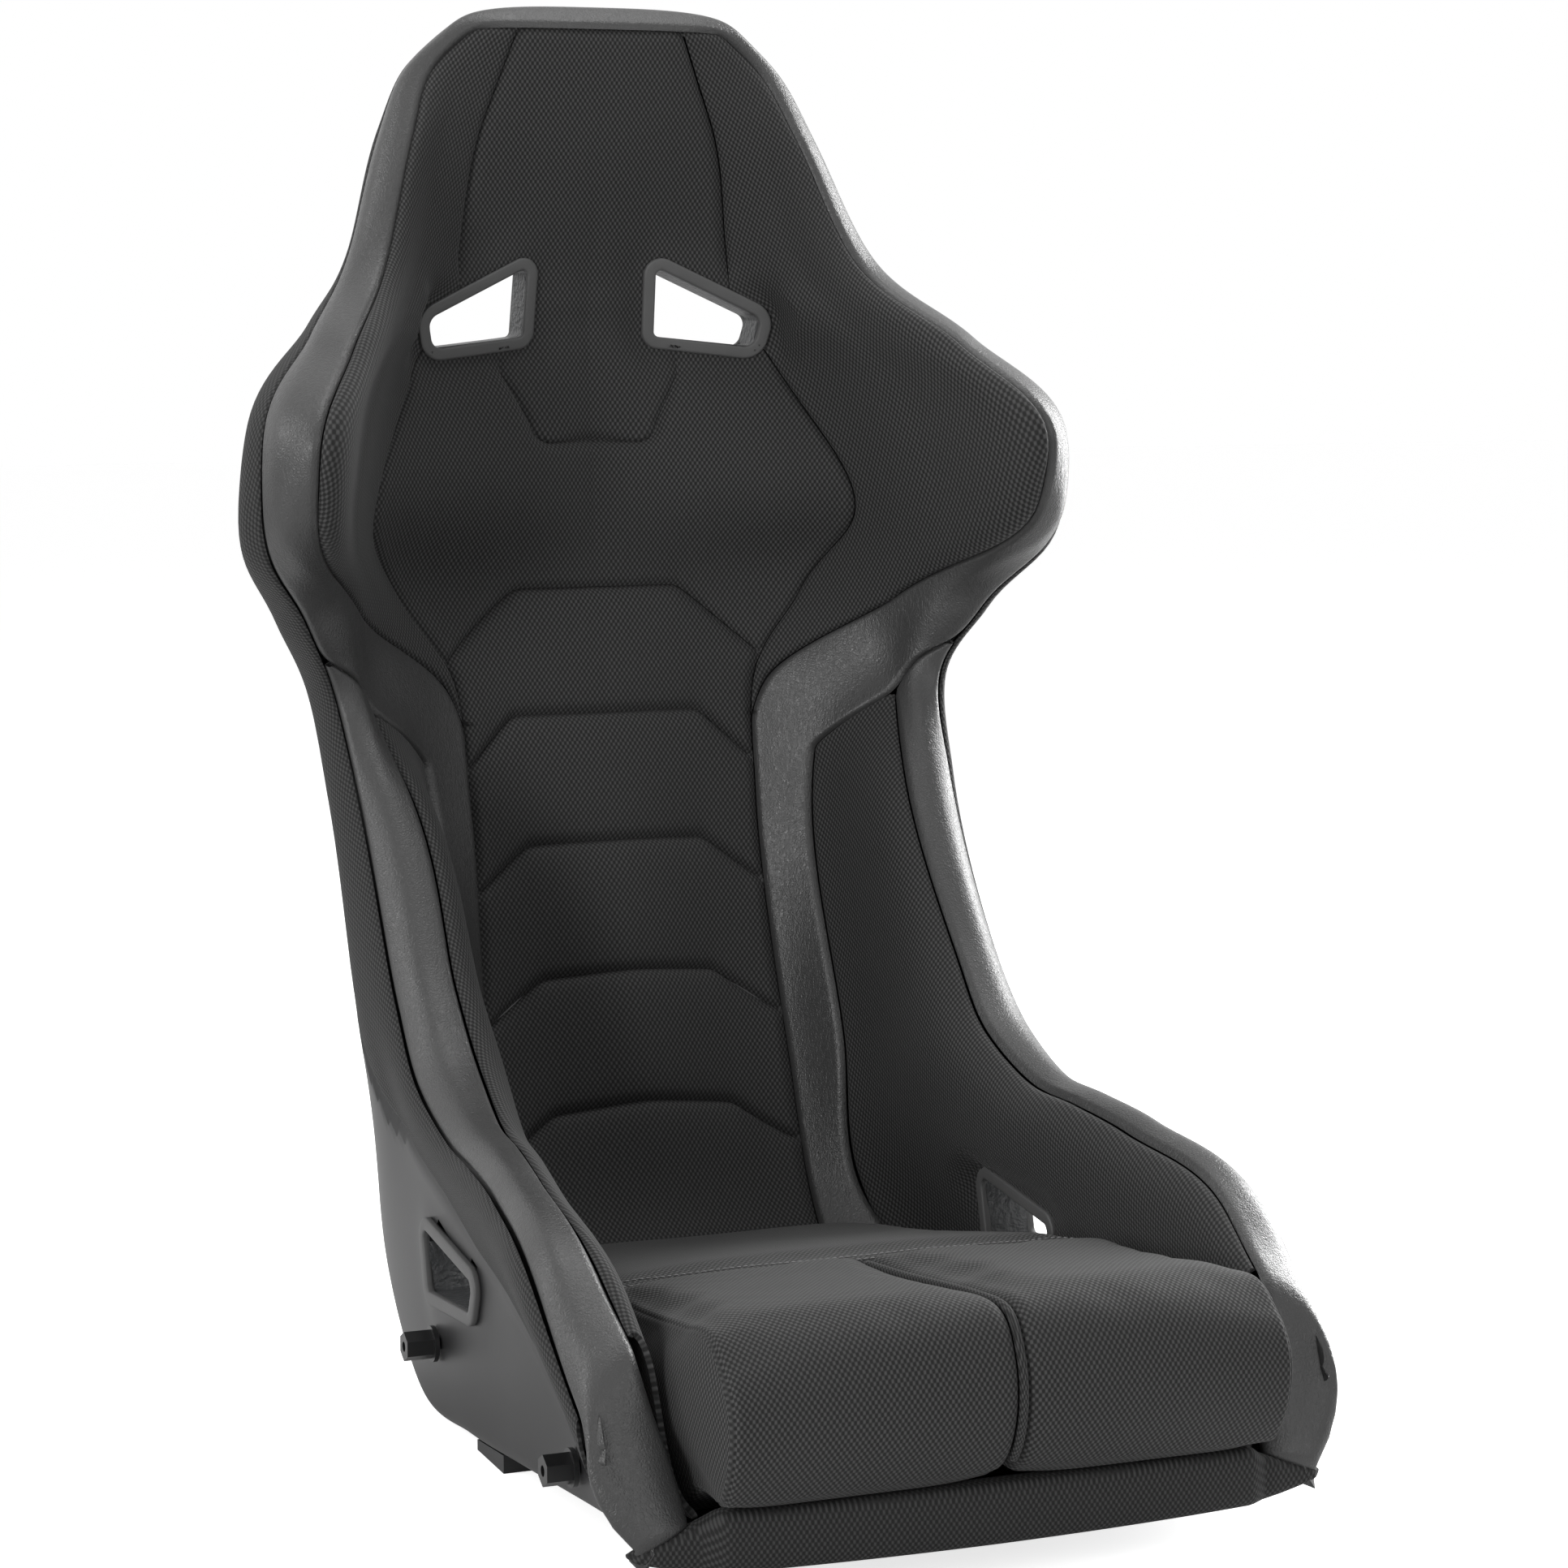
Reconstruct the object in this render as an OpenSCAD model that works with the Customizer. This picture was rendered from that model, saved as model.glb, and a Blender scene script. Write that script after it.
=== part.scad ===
// Fixed-back racing bucket seat with harness slots and a lift-out cushion.
// Millimetres, Z up. The sitter faces -Y, so the sitter's left is +X.

/* [Frame] */
// depth from the foot line to the middle of the seat
mid_depth = 336; // [300:1:380]
// height of the foot line above the surface that the seat stands on
foot_height = 38; // [30:1:60]

/* [Shell] */
// wall of the moulded shell
shell_wall = 4; // [3:0.5:6]
// thickness of the fabric wrap on the outer side
wrap_thick = 2.5; // [1.5:0.5:4]
// thickness of the vinyl edge rolls
roll_thick = 8; // [6:0.5:12]
// how far a roll's crest stands over the line between its seams
roll_rise = 9; // [4:1:14]
// length of the padded caps on the bolster feet
cap_length = 15; // [8:1:20]
// gap between neighbouring covers
seam_gap = 0.6; // [0.4:0.1:1.5]
// gap between padding and shell
pad_gap = 1.4; // [0.6:0.1:2]

/* [Covers] */
// rise of a plain padded panel between its seams
panel_puff = 4; // [0:0.5:8]
// rise of a chevron band
band_puff = 5; // [0:0.5:9]
// number of chevron bands
bands = 5; // [3:1:6]
// height of the top chevron seam over the foot line
band_top = 494; // [460:1:520]
// spacing of the chevron seams
band_pitch = 90; // [70:1:100]
// half width of the level part of a chevron
band_flat = 68; // [50:1:80]
// drop of a chevron from its level part to the edge of the panel
band_drop = 38; // [20:1:50]
// half width of the head panel's tongue where it leaves the slots
tongue_top = 66; // [55:1:72]
// half width of the tongue near its lower end
tongue_low = 47; // [30:1:55]
// height of the tongue's lower end
tongue_end = 600; // [585:1:620]
// corner rounding of the tongue's lower end
tongue_round = 14; // [6:1:20]

/* [Harness slots] */
// width of a shoulder bezel's ring
bezel_ring = 9; // [8:1:14]
// corner radius of the bezels
bezel_round = 13; // [8:1:18]
// thickness of the bezels
bezel_thick = 4; // [3:0.5:8]
// depth of the shoulder slots between their bezels
shoulder_deep = 27; // [20:1:40]
// depth of the lap slots between their bezels
lap_deep = 30; // [20:1:40]
// wall of the sleeves that line the slots
sleeve_wall = 2.5; // [1.5:0.5:4]
// clearance between a slot fitting and what it goes through
slot_clear = 0.5; // [0.3:0.1:1.5]
// turn of the shoulder slots out of the seat's front
shoulder_yaw = 13; // [0:1:25]
// lean of the shoulder slots towards the sitter
shoulder_lean = 11; // [0:1:20]

/* [Front lip] */
// height of the lip's top over the foot line
lip_top = 26; // [16:1:34]
// thickness of the lip, front to rear
lip_depth = 22; // [14:1:30]
// how far the lip bows forward at its middle
lip_bulge = 8; // [0:1:16]

/* [Mounting] */
// spacing of the side mounting bosses, front to rear
boss_pitch = 290; // [280:1:300]
// front boss behind the foot line
boss_front = 100; // [80:1:110]
// height of the bosses over the foot line
boss_height = 23; // [20:1:40]
// distance of a boss face from the seat's middle
boss_face = 236; // [230:1:250]
// size across the flats of a boss
boss_flats = 17; // [13:1:19]
// thickness of a boss plate
plate_thick = 3; // [2:0.5:5]
// core radius of the M8 threads
thread_r = 3.4; // [3.3:0.05:4]
// depth of the threads in the bosses
thread_depth = 14; // [10:1:15]
// radius of the stud inside the shell
stud_r = 4; // [3:0.5:5]
// half spacing of the crossmember's holes across the seat
base_half = 150; // [140:1:165]
// middle of the crossmember behind the foot line
rail_middle = 318; // [300:1:340]
// width of the crossmember
rail_width = 56; // [30:1:60]
// half length of the crossmember
rail_half = 200; // [180:1:205]
// height of the crossmember at its rear
rail_height = 7; // [6:0.5:16]
// how much higher its front is
rail_rise = 5; // [0:0.5:6]

/* [Cushion] */
// half width of the cushion's front
cushion_half = 177; // [160:1:180]
// overhang of the cushion's front before the foot line
cushion_front = 60; // [40:1:70]
// depth of the seam between the thigh pads and the rear pad
cushion_split = 185; // [150:1:220]
// rear end of the cushion
cushion_rear = 520; // [480:1:525]
// half gap between the thigh pads
cushion_groove = 2.5; // [1:0.5:6]
// radius of the piping in the groove
piping_r = 3; // [2:0.5:5]
// crown of a pad
cushion_crown = 7; // [0:1:14]
// corner radius of the pads
cushion_round = 16; // [8:1:24]
// gap under the cushion
cushion_gap = 0.5; // [0.3:0.1:1]

/* [Hidden] */
$fn = 48;

// One row per section: depth, height and slant of its plane, then [across, along] pairs for the
// panel seam, the bolster's middle, the inner seam, the outer seam, the side and the rear corner,
// and the depth of the back behind the face.
sections = [
    [  0,  14, -112, 110,   0, 176,  -8, 204, -112, 236,  -66, 230,  -14, 222,   8,  6],
    [ 60,   8, -103, 110,   0, 180, -10, 206, -144, 240, -122, 218,  -26, 213,  11,  6],
    [230,  -7,  -83, 110,   0, 182, -14, 198, -178, 231, -170, 216,  -96, 212,  13, 10],
    [340, -15,  -70, 110,   0, 182, -16, 192, -204, 226, -194, 216, -130, 212,  16, 14],
    [447, -14,  -58, 112,   0, 174, -22, 187, -229, 223, -218, 217, -167, 206,  25, 21],
    [536,  51,  -46, 112,  -3, 141, -25, 182, -213, 223, -198, 218, -140, 202,  27, 28],
    [577, 155,  -34, 112,   7, 140, -31, 182, -167, 221, -149, 228, -105, 201,   8, 28],
    [641, 347,  -10, 108,  -2, 143, -24, 182, -108, 221, -103, 231,  -78, 200,   0, 26],
    [664, 430,    0, 114,  -8, 158, -38, 197,  -72, 227,  -94, 238,  -69, 206,  -8, 26],
    [678, 490,    5, 151, -17, 178, -50, 203,  -87, 250, -128, 264, -105, 222, -34, 26],
    [688, 590,    9, 172, -58, 215,-130, 261, -212, 293, -182, 300, -166, 246, -76, 26],
    [697, 650,   11, 140, -31, 200,-122, 264, -236, 289, -184, 292, -168, 236, -72, 24],
    [697, 700,   10, 106, -20, 164, -84, 224, -173, 240, -124, 236, -100, 196, -28, 22],
    [690, 740,    8, 100, -12, 138, -40, 176,  -83, 194,  -48, 191,  -36, 160,   4, 28],
    [670, 820,    4,  88,  -3, 116, -10, 144,  -24, 160,    8, 158,   18, 132,  32, 38],
    [663, 860,    2,  74,   0, 100,   0, 127,    1, 141,   24, 138,   31, 112,  40, 40],
    [658, 893,    0,  62,   1,  78,   3,  92,    7, 108,   26, 105,   31,  86,  37, 37]];
last_row = len(sections) - 1;
foot_row = 0;
heel_row = 5;
waist_row = 8;
neck_row = 13;
corner_r = 16;
back_share = 0.55;
slot_top = 730;
// height of the upper back panel's top, behind the slots, and the plane and reach of its cuts
back_panel_top = 668;
cut_plane = 760;
cut_reach = 160;
// half width and depth of the cut under the seat
under_half = 300;
under_deep = 20;
// The head's top roll at the seat's middle: front seam, crest and back seam, outside and inside.
crown = [[0, 657, 897], [0, 676, 908], [0, 703, 887]];
crown_inside = [[0, 662, 890], [0, 677, 899], [0, 698, 886]];

// Rows where the vinyl strip of the back leaves the centre panel and where it reaches the outer seam.
strip_start = 7.6;
strip_meets_hip = 7.8;
strip_end = 8.55;

// A smooth curve through the points p, at p[0] for v = 0 and p[1] for v = 1. An outline's rear
// corner, from 7 to 8, leaves the side and the back straight.
function tangent(p, i) =
    let(a = p[max(i - 1, 0)], b = p[i], c = p[min(i + 1, len(p) - 1)],
        d1 = norm(b - a), d2 = norm(c - b))
    d1 == 0 ? (c - b) / d2
    : d2 == 0 ? (b - a) / d1
    : len(p) == 11 && (i == 7 || i == 8) ? (c - a) / (d1 + d2)
    : ((b - a) / d1 * d2 + (c - b) / d2 * d1) / (d1 + d2);
function on_curve(p, v) =
    let(i = max(0, min(floor(v), len(p) - 2)), f = v - i, d = norm(p[i + 1] - p[i]))
    d == 0 ? p[i]
    : (2 * pow(f, 3) - 3 * pow(f, 2) + 1) * p[i] + (3 * pow(f, 2) - 2 * pow(f, 3)) * p[i + 1]
      + d * ((pow(f, 3) - 2 * pow(f, 2) + f) * tangent(p, i)
             + (pow(f, 3) - pow(f, 2)) * tangent(p, i + 1));
function unit(v) = v / norm(v);
function mix(a, b, f) = a + (b - a) * f;
function clamp(v, lo, hi) = max(lo, min(hi, v));
function step_to(v, lo, hi) = clamp((v - lo) / (hi - lo), 0, 1);

// The outline of one section as 11 points, from the middle of the face round to the back.
// 0 middle, 1 panel seam, 2 bolster, 3 inner seam, 4 crest, 5 outer seam, 6 side, 7-8 rear corner,
// 9 back, 10 middle of the back.
function outline(row) =
    let(e = [row[7], row[8]], f = [row[9], row[10]], side = [row[11], row[12]],
        corner = [row[13], row[14]], back = [0, row[15]],
        chord = unit(f - e), rise = roll_rise * [chord[1], -chord[0]],
        shoulder = [corner[0] * back_share, mix(row[15], corner[1], 0.3)])
    [[0, 0], [row[3], row[4]], [row[5], row[6]], e, (e + f) / 2 + rise, f, side,
     corner + corner_r * unit(side - corner), corner + corner_r * unit(shoulder - corner),
     shoulder, back];
function section(u) = on_curve(sections, u);

// The point of the skin on section u at outline place v, pushed in by depth; -v is the other side.
function in_plane(points, v, depth) =
    let(at = on_curve(points, v),
        step = on_curve(points, min(v + 0.02, 10)) - on_curve(points, max(v - 0.02, 0)),
        inward = v <= 0 ? [0, 1] : v >= 10 ? [0, -1] : unit([-step[1], step[0]]))
    at + depth * inward;
function skin(u, v, depth = 0) =
    let(row = section(u), p = in_plane(outline(row), abs(v), depth))
    [sign(v) * p[0], row[0] + p[1] * cos(row[2]), row[1] + p[1] * sin(row[2])];

// The section whose middle has the height z, above the pan.
function row_at(z, lo = heel_row, hi = last_row, steps = 14) =
    steps == 0 ? (lo + hi) / 2
    : section((lo + hi) / 2)[1] < z ? row_at(z, (lo + hi) / 2, hi, steps - 1)
    : row_at(z, lo, (lo + hi) / 2, steps - 1);

// Outline places of the lines that cross the face: the strip's upper and lower edges.
function strip_inner(u) = 1 + 2 * step_to(u, strip_start, 9);
function strip_outer(u) = u < 7.3 ? 2 : 2 + 3 * pow(step_to(u, 7.3, strip_end), 1.3);
function panel_outer(u) = min(1, strip_inner(u));

// Where the foam in front of outline place v meets the shell.
back_places = [[0, 10], [1, 9], [2, 7.5], [3, 5.8], [4, 5]];
corner_ease = [[6, 1], [7, 2], [8, 2], [9, 1]];
curve_ease = [[4.5, 0], [5, 1.5], [6, 0], [8, 0], [9, 2], [12, 2], [13, 0]];
function behind(v) = lookup(abs(v), back_places);
function wrap_end(u) = mix(6, 7, step_to(u, heel_row, waist_row));
function under_cover(u, v) =
    v < 5 ? roll_thick + pad_gap
    : v < wrap_end(u) ? mix(roll_thick, wrap_thick, step_to(v, 5, 5.3)) + pad_gap
    : 0;
function foam_back(u, v) =
    let(w = behind(v))
    skin(u, sign(v) * w, under_cover(u, w - 0.4) + shell_wall + pad_gap * lookup(w, corner_ease)
                         + lookup(u, curve_ease));

// A solid through rings of points, each ring its front points and then its back points reversed.
module loft(rings) {
    n = len(rings);
    m = len(rings[0]);
    half = m / 2;
    sides = [for (i = [0 : n - 2]) for (j = [0 : m - 1])
        let(k = (j + 1) % m, a = i * m + j, b = i * m + k, c = a + m, d = b + m)
        each [[a, c, b], [b, c, d]]];
    caps = [for (j = [0 : half - 2])
        let(a = j, b = j + 1, c = m - 1 - j, d = m - 2 - j, t = (n - 1) * m)
        each [[a, b, c], [b, d, c], [t + a, t + c, t + b], [t + b, t + c, t + d]]];
    polyhedron([for (r = rings) each r], concat(sides, caps));
}

// How far a panel's face rises over the skin, from 0 at its seams, for places a and b from 0 to 1.
function swell(a, b, power = 6) = (1 - pow(abs(2 * a - 1), power)) * (1 - pow(abs(2 * b - 1), power));

// A padded panel. lo(w) and hi(w) are its first and last sections where w runs across it, and
// near(u) and far(u) its outline places. A tucked panel runs on behind the roll at its far seam.
module panel(lo, hi, near, far, rows, columns, puff, tucked = false) {
    loft([for (i = [0 : rows])
        let(a = i / rows,
            points = [for (j = [0 : columns])
                let(b = j / columns, u = mix(lo(b), hi(b), a), v = mix(near(u), far(u), b))
                [skin(u, v, seam_gap - puff * swell(a, b)), foam_back(u, v)]],
            u = mix(lo(1), hi(1), a), tuck = skin(u, far(u), roll_thick + pad_gap),
            all = tucked ? concat(points, [[tuck, mix(tuck, points[columns][1], 0.98)]]) : points,
            last = len(all) - 1)
        concat([for (p = all) p[0]], [for (j = [last : -1 : 0]) all[j][1]])]);
}

// A cover of constant thickness that follows the skin, through outline places line(u).
module band(rows, line, thick) {
    loft([for (u = rows)
        let(places = line(u), last = len(places) - 1)
        concat([for (v = places) skin(u, v)],
               [for (j = [last : -1 : 0]) skin(u, places[j], thick)])]);
}
function evenly(lo, hi, n) = [for (i = [0 : n]) mix(lo, hi, i / n)];

module left() {
    children();
}
module right() {
    mirror([1, 0, 0])
        children();
}
module both() {
    left() children();
    right() children();
}
module place() {
    translate([0, -mid_depth, foot_height])
        children();
}

// Slot openings: a point on the face, and the middles of the corner rounds of a bezel's outer edge.
shoulder_at = [92, 684, 693];
shoulder_corners = [[-40, 24], [30, -6], [28, -21], [-39, -17]];
shoulder_reach = 90;
// How far a shoulder slot slides across its bezel for each step out of it, so that it runs along Y.
shoulder_slide = [tan(shoulder_yaw), tan(shoulder_lean) / cos(shoulder_yaw)];
lap_at = [216, 347, 82];
lap_corners = [[48, 12], [41, -20], [-45, -11], [-50, 1]];
lap_reach = 50;

// A slot's plug with corner rounds of the given radius, from the depth lo to the depth hi.
module plug(corners, round, lo, hi, slide = [0, 0]) {
    if (slide == [0, 0])
        translate([0, 0, lo])
            linear_extrude(hi - lo)
                hull()
                    for (c = corners)
                        translate(c)
                            circle(round, $fn = 16);
    else
        hull()
            for (c = corners, z = [lo, hi - 0.1])
                translate([c[0] + slide[0] * z, c[1] + slide[1] * z, z])
                    cylinder(r = round, h = 0.1, $fn = 12);
}
module slot_tube(corners, outer, inner, lo, hi, slide = [0, 0]) {
    difference() {
        plug(corners, outer, lo, hi, slide);
        plug(corners, inner, lo - 1, hi + 1, slide);
    }
}
// Local x runs outwards, y up and z towards the sitter.
module shoulder_frame() {
    translate(shoulder_at)
        rotate([shoulder_lean, 0, 0])
            rotate([0, 0, -shoulder_yaw])
                rotate([90, 0, 0])
                    children();
}
// Local x runs rearwards, y up and z out of the seat's side.
module lap_frame() {
    translate(lap_at)
        rotate([90, 0, 90])
            children();
}
module shoulder_plugs(round) {
    for (half = [-1, 0])
        both()
            shoulder_frame()
                plug(shoulder_corners, round, half * shoulder_reach - 1,
                     (half + 1) * shoulder_reach, shoulder_slide);
}
module lap_plugs(round) {
    for (half = [-1, 0])
        both()
            lap_frame()
                plug(lap_corners, round, half * lap_reach - 1, (half + 1) * lap_reach);
}
hole_round = bezel_round - bezel_ring;
sleeve_round = hole_round + sleeve_wall;
pad_round = bezel_round + slot_clear;

// Sections and outline places of the shell and of the wrap on it, which ends at wrap_end.
shell_rows = concat([0.25, 1, 1.7, 2.3, 2.8], [for (i = [0 : 6]) 3.2 + 0.4 * i],
                    [for (i = [0 : 11]) 6.2 + 0.5 * i], [for (i = [0 : 3]) 12.4 + 0.8 * i], [15.4, 15.8]);
function wrap_line(u, short) =
    let(e = wrap_end(u)) [5.04, 5.3, mix(5.3, e, 0.5), e - short];
function shell_line(u) =
    let(e = wrap_end(u), k = max(7, e + 0.1), w = wrap_line(u, 0.03))
    concat([4.5, 5], [w[1], w[2], w[3]], [e + 0.03, mix(e, k, 0.5), k, 7.5, 8, 8.5, 9, 9.5, 10]);
module moulded_shell() {
    color([0.1, 0.1, 0.1])
        place()
            difference() {
                loft([for (u = shell_rows)
                    let(half = shell_line(u), last = len(half) - 1,
                        around = concat(half, [for (i = [last - 1 : -1 : 0]) -half[i]]))
                    concat([for (v = around) skin(u, v, under_cover(u, abs(v)))],
                           [for (j = [len(around) - 1 : -1 : 0])
                               skin(u, around[j], under_cover(u, abs(around[j])) + shell_wall)])]);
                shoulder_plugs(sleeve_round + slot_clear);
                lap_plugs(sleeve_round + slot_clear);
                boss_holes();
                translate([-under_half, 0, -foot_height - under_deep])
                    cube([2 * under_half, 2 * under_half, under_deep]);
            }
}

module head_panel() {
    color([0.2, 0.2, 0.2])
        place()
            difference() {
                head_blank();
                shoulder_plugs(pad_round);
                lap_plugs(pad_round);
                both()
                    beside_tongue();
            }
}
// The tongue's half width at the height z, and the head panel's edge as a share of the panel seam.
tongue_rounds = [0, 0.04, 0.15, 0.35, 0.62, 1];
tongue_shape = concat(
    [for (k = tongue_rounds)
        [tongue_end + k * tongue_round,
         tongue_low - tongue_round * (1 - sqrt(1 - pow(1 - k, 2)))]],
    [[650, tongue_top], [672, tongue_top]]);
function head_edge(u) =
    let(row = section(u))
    lookup(row[1], [[tongue_end, tongue_low + 4], [650, tongue_top + 4], [690, 64], [704, row[3]]])
        / row[3];
module head_blank() {
    lo = row_at(tongue_end);
    panel(function(b) lo, function(b) last_row - 0.12, function(u) -head_edge(u) + seam_gap / 100,
          function(u) head_edge(u) - seam_gap / 100, 16, 10, panel_puff);
}

module side_panel() {
    color([0.2, 0.2, 0.2])
        place()
            difference() {
                panel(function(b) strip_start + 0.15, function(b) last_row - 0.12,
                      function(u) 1 + seam_gap / 60, function(u) strip_inner(u) - seam_gap / 60,
                      20, 6, panel_puff, true);
                shoulder_plugs(pad_round);
                lap_plugs(pad_round);
            }
}

// A chevron seam's section at the height z, for the place b across the panel.
function chevron(z, b) =
    let(x = abs(2 * b - 1) * 110)
    row_at(z - band_drop * step_to(x, band_flat, 110));

module upper_back_panel() {
    color([0.2, 0.2, 0.2])
        place()
            difference() {
                panel(function(b) chevron(band_top, b) + 0.01, function(b) row_at(back_panel_top),
                      function(u) -1 + seam_gap / 100, function(u) 1 - seam_gap / 100,
                      10, 16, panel_puff);
                shoulder_plugs(pad_round);
                lap_plugs(pad_round);
                tongue_cut();
            }
}
module from_rear() {
    translate([0, cut_plane, 0])
        rotate([90, 0, 0])
            linear_extrude(cut_reach)
                children();
}
module tongue_cut() {
    edge = [for (p = tongue_shape) [p[1] + seam_gap, p[0] - seam_gap]];
    from_rear()
        polygon(concat(edge, [[tongue_top, slot_top], [-tongue_top, slot_top]],
                       [for (i = [len(edge) - 1 : -1 : 0]) [-edge[i][0], edge[i][1]]]));
}
module beside_tongue() {
    from_rear()
        polygon(concat([for (p = tongue_shape) [p[1], p[0]]],
                       [[100, tongue_shape[len(tongue_shape) - 1][0]], [100, 560], [0, 560],
                        [0, tongue_end]]));
}

module back_band(k) {
    top = band_top - (k - 1) * band_pitch;
    low = k == bands ? 52 : top - band_pitch;
    color([0.2, 0.2, 0.2])
        place()
            panel(function(b) k == bands ? row_at(low) : chevron(low, b) + 0.01,
                  function(b) chevron(top, b) - 0.01, function(u) -1 + seam_gap / 100,
                  function(u) 1 - seam_gap / 100, 5, 12, band_puff);
}

// The vinyl strip beside the back, which runs on round the wing as its edge roll.
module edging_upper() {
    color([0.33, 0.33, 0.33])
        place()
            band(evenly(heel_row, neck_row - 0.02, 27),
                 function(u) evenly(strip_inner(u), strip_outer(u), 5), roll_thick);
}

// The roll over the head: up one side, round over the top and down the other side.
side_turns = 9;
top_turns = 5;
roll_sides = 5;
function over_head(v, f, depth) =
    let(edge = skin(last_row, v, depth), middle = on_curve(depth > 0 ? crown_inside : crown, v - 3))
    [edge[0] * pow(cos(90 * f), 0.6), mix(edge[1], middle[1], sin(90 * f)),
     mix(edge[2], middle[2], sin(90 * f))];
function head_roll_point(i, v, depth) =
    i <= side_turns ? skin(mix(neck_row, last_row, i / side_turns), v, depth)
    : over_head(v, (i - side_turns) / top_turns, depth);
module edging_head() {
    places = [for (j = [0 : roll_sides]) mix(3, 5, j / roll_sides)];
    half = [for (i = [0 : side_turns + top_turns])
        concat([for (v = places) head_roll_point(i, v, 0)],
               [for (j = [roll_sides : -1 : 0]) head_roll_point(i, places[j], roll_thick)])];
    other = [for (i = [len(half) - 2 : -1 : 0]) [for (p = half[i]) [-p[0], p[1], p[2]]]];
    color([0.33, 0.33, 0.33])
        place()
            loft(concat(half, other));
}

// The fabric inside the lower bolster, from the pan floor to the inner seam.
module hip_panel() {
    color([0.2, 0.2, 0.2])
        place()
            difference() {
                panel(function(b) 0, function(b) strip_meets_hip,
                      function(u) mix(1.95, 2, step_to(u, 4, heel_row)) * (u < 7.3 ? 1 : strip_outer(u) / 2)
                          + seam_gap / 40,
                      function(u) 3 - seam_gap / 60, 20, 6, panel_puff / 2, true);
                shoulder_plugs(pad_round);
                lap_plugs(pad_round);
            }
}
module hip_edging() {
    color([0.33, 0.33, 0.33])
        place()
            band(evenly(0, strip_end - 0.12, 24),
                 function(u) evenly(max(3, strip_outer(u)) + 0.02, 5, 5), roll_thick);
}

// A padded cap on the cut end of a lower bolster.
module end_cap() {
    row = sections[foot_row];
    ahead = cap_length / 2 + seam_gap;
    points = [[196, -94], [203, -102], [225, -84], [230, -56], [219, 10], [192, -8]];
    color([0.33, 0.33, 0.33])
        place()
            hull()
                for (p = points)
                    translate([p[0], row[0] + p[1] * cos(row[2]) + ahead * sin(row[2]),
                               row[1] + p[1] * sin(row[2]) - ahead * cos(row[2])])
                        sphere(cap_length / 2, $fn = 12);
}

module outer_wrap() {
    color([0.16, 0.16, 0.16])
        place()
            difference() {
                band(concat([0], [for (u = shell_rows) if (u < last_row - 0.4) u], [last_row - 0.4]),
                     function(u) wrap_line(u, 0.06), wrap_thick);
                shoulder_plugs(pad_round);
                lap_plugs(pad_round);
            }
}

// The lip runs under both feet, where it gets thinner.
lip_half = 212;
lip_tops = [[0, 0], [178, 0], [184, -7], [188, -9], [200, -16], [lip_half, -23]];
lip_depths = [[0, 1], [176, 1], [184, 0.55], [lip_half, 0.4]];
module front_lip() {
    turns = 14;
    places = [0, 50, 100, 145, 176, 184, 190, 201, lip_half];
    last = len(places) - 1;
    across = concat([for (i = [last : -1 : 1]) -places[i]], places);
    color([0.16, 0.16, 0.16])
        place()
            loft([for (x = across)
                let(mid = 1 - pow(x / lip_half, 2), share = lookup(abs(x), lip_depths),
                    y = -12 + 7 * step_to(184 - abs(x), 0, 8) - lip_bulge * mid,
                    low = -6 - 6 * pow(mid, 0.4), tall = lip_top + lookup(abs(x), lip_tops) - low)
                [for (j = [0 : turns - 1])
                    let(a = 360 * (j + 0.5) / turns)
                    [x, y + share * lip_depth / 2 * sign(cos(a)) * pow(abs(cos(a)), 0.6),
                     low + tall / 2 * (1 + sign(sin(a)) * pow(abs(sin(a)), 0.6))]]]);
}

module shoulder_bezels(front) {
    color([0.33, 0.33, 0.33])
        place()
            both()
                shoulder_frame()
                    slot_tube(shoulder_corners, bezel_round, hole_round,
                              front ? 0 : -shoulder_deep - bezel_thick,
                              front ? bezel_thick : -shoulder_deep, shoulder_slide);
}
module shoulder_sleeves() {
    color([0.2, 0.2, 0.2])
        place()
            both()
                shoulder_frame()
                    slot_tube(shoulder_corners, sleeve_round, hole_round, -shoulder_deep, 0,
                              shoulder_slide);
}
module lap_bezels(inner) {
    color([0.25, 0.25, 0.25])
        place()
            both()
                lap_frame()
                    slot_tube(lap_corners, bezel_round, hole_round,
                              inner ? -lap_deep - bezel_thick : 0,
                              inner ? -lap_deep : bezel_thick);
}
module lap_sleeves() {
    color([0.2, 0.2, 0.2])
        place()
            both()
                lap_frame()
                    slot_tube(lap_corners, sleeve_round, hole_round, -lap_deep, 0);
}

// Where the shell's side lies at the depth y and height z: the outline place, the section and x.
function side_place(u, z, lo = 5, hi = 7, steps = 12) =
    let(mid = (lo + hi) / 2)
    steps == 0 ? mid
    : skin(u, mid)[2] > z ? side_place(u, z, mid, hi, steps - 1)
    : side_place(u, z, lo, mid, steps - 1);
function side_row(y, z, lo = 0, hi = heel_row, steps = 12) =
    let(mid = (lo + hi) / 2)
    steps == 0 ? mid
    : skin(mid, side_place(mid, z))[1] < y ? side_row(y, z, mid, hi, steps - 1)
    : side_row(y, z, lo, mid, steps - 1);
function side_x(y, z) = let(u = side_row(y, z)) skin(u, side_place(u, z))[0];

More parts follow.
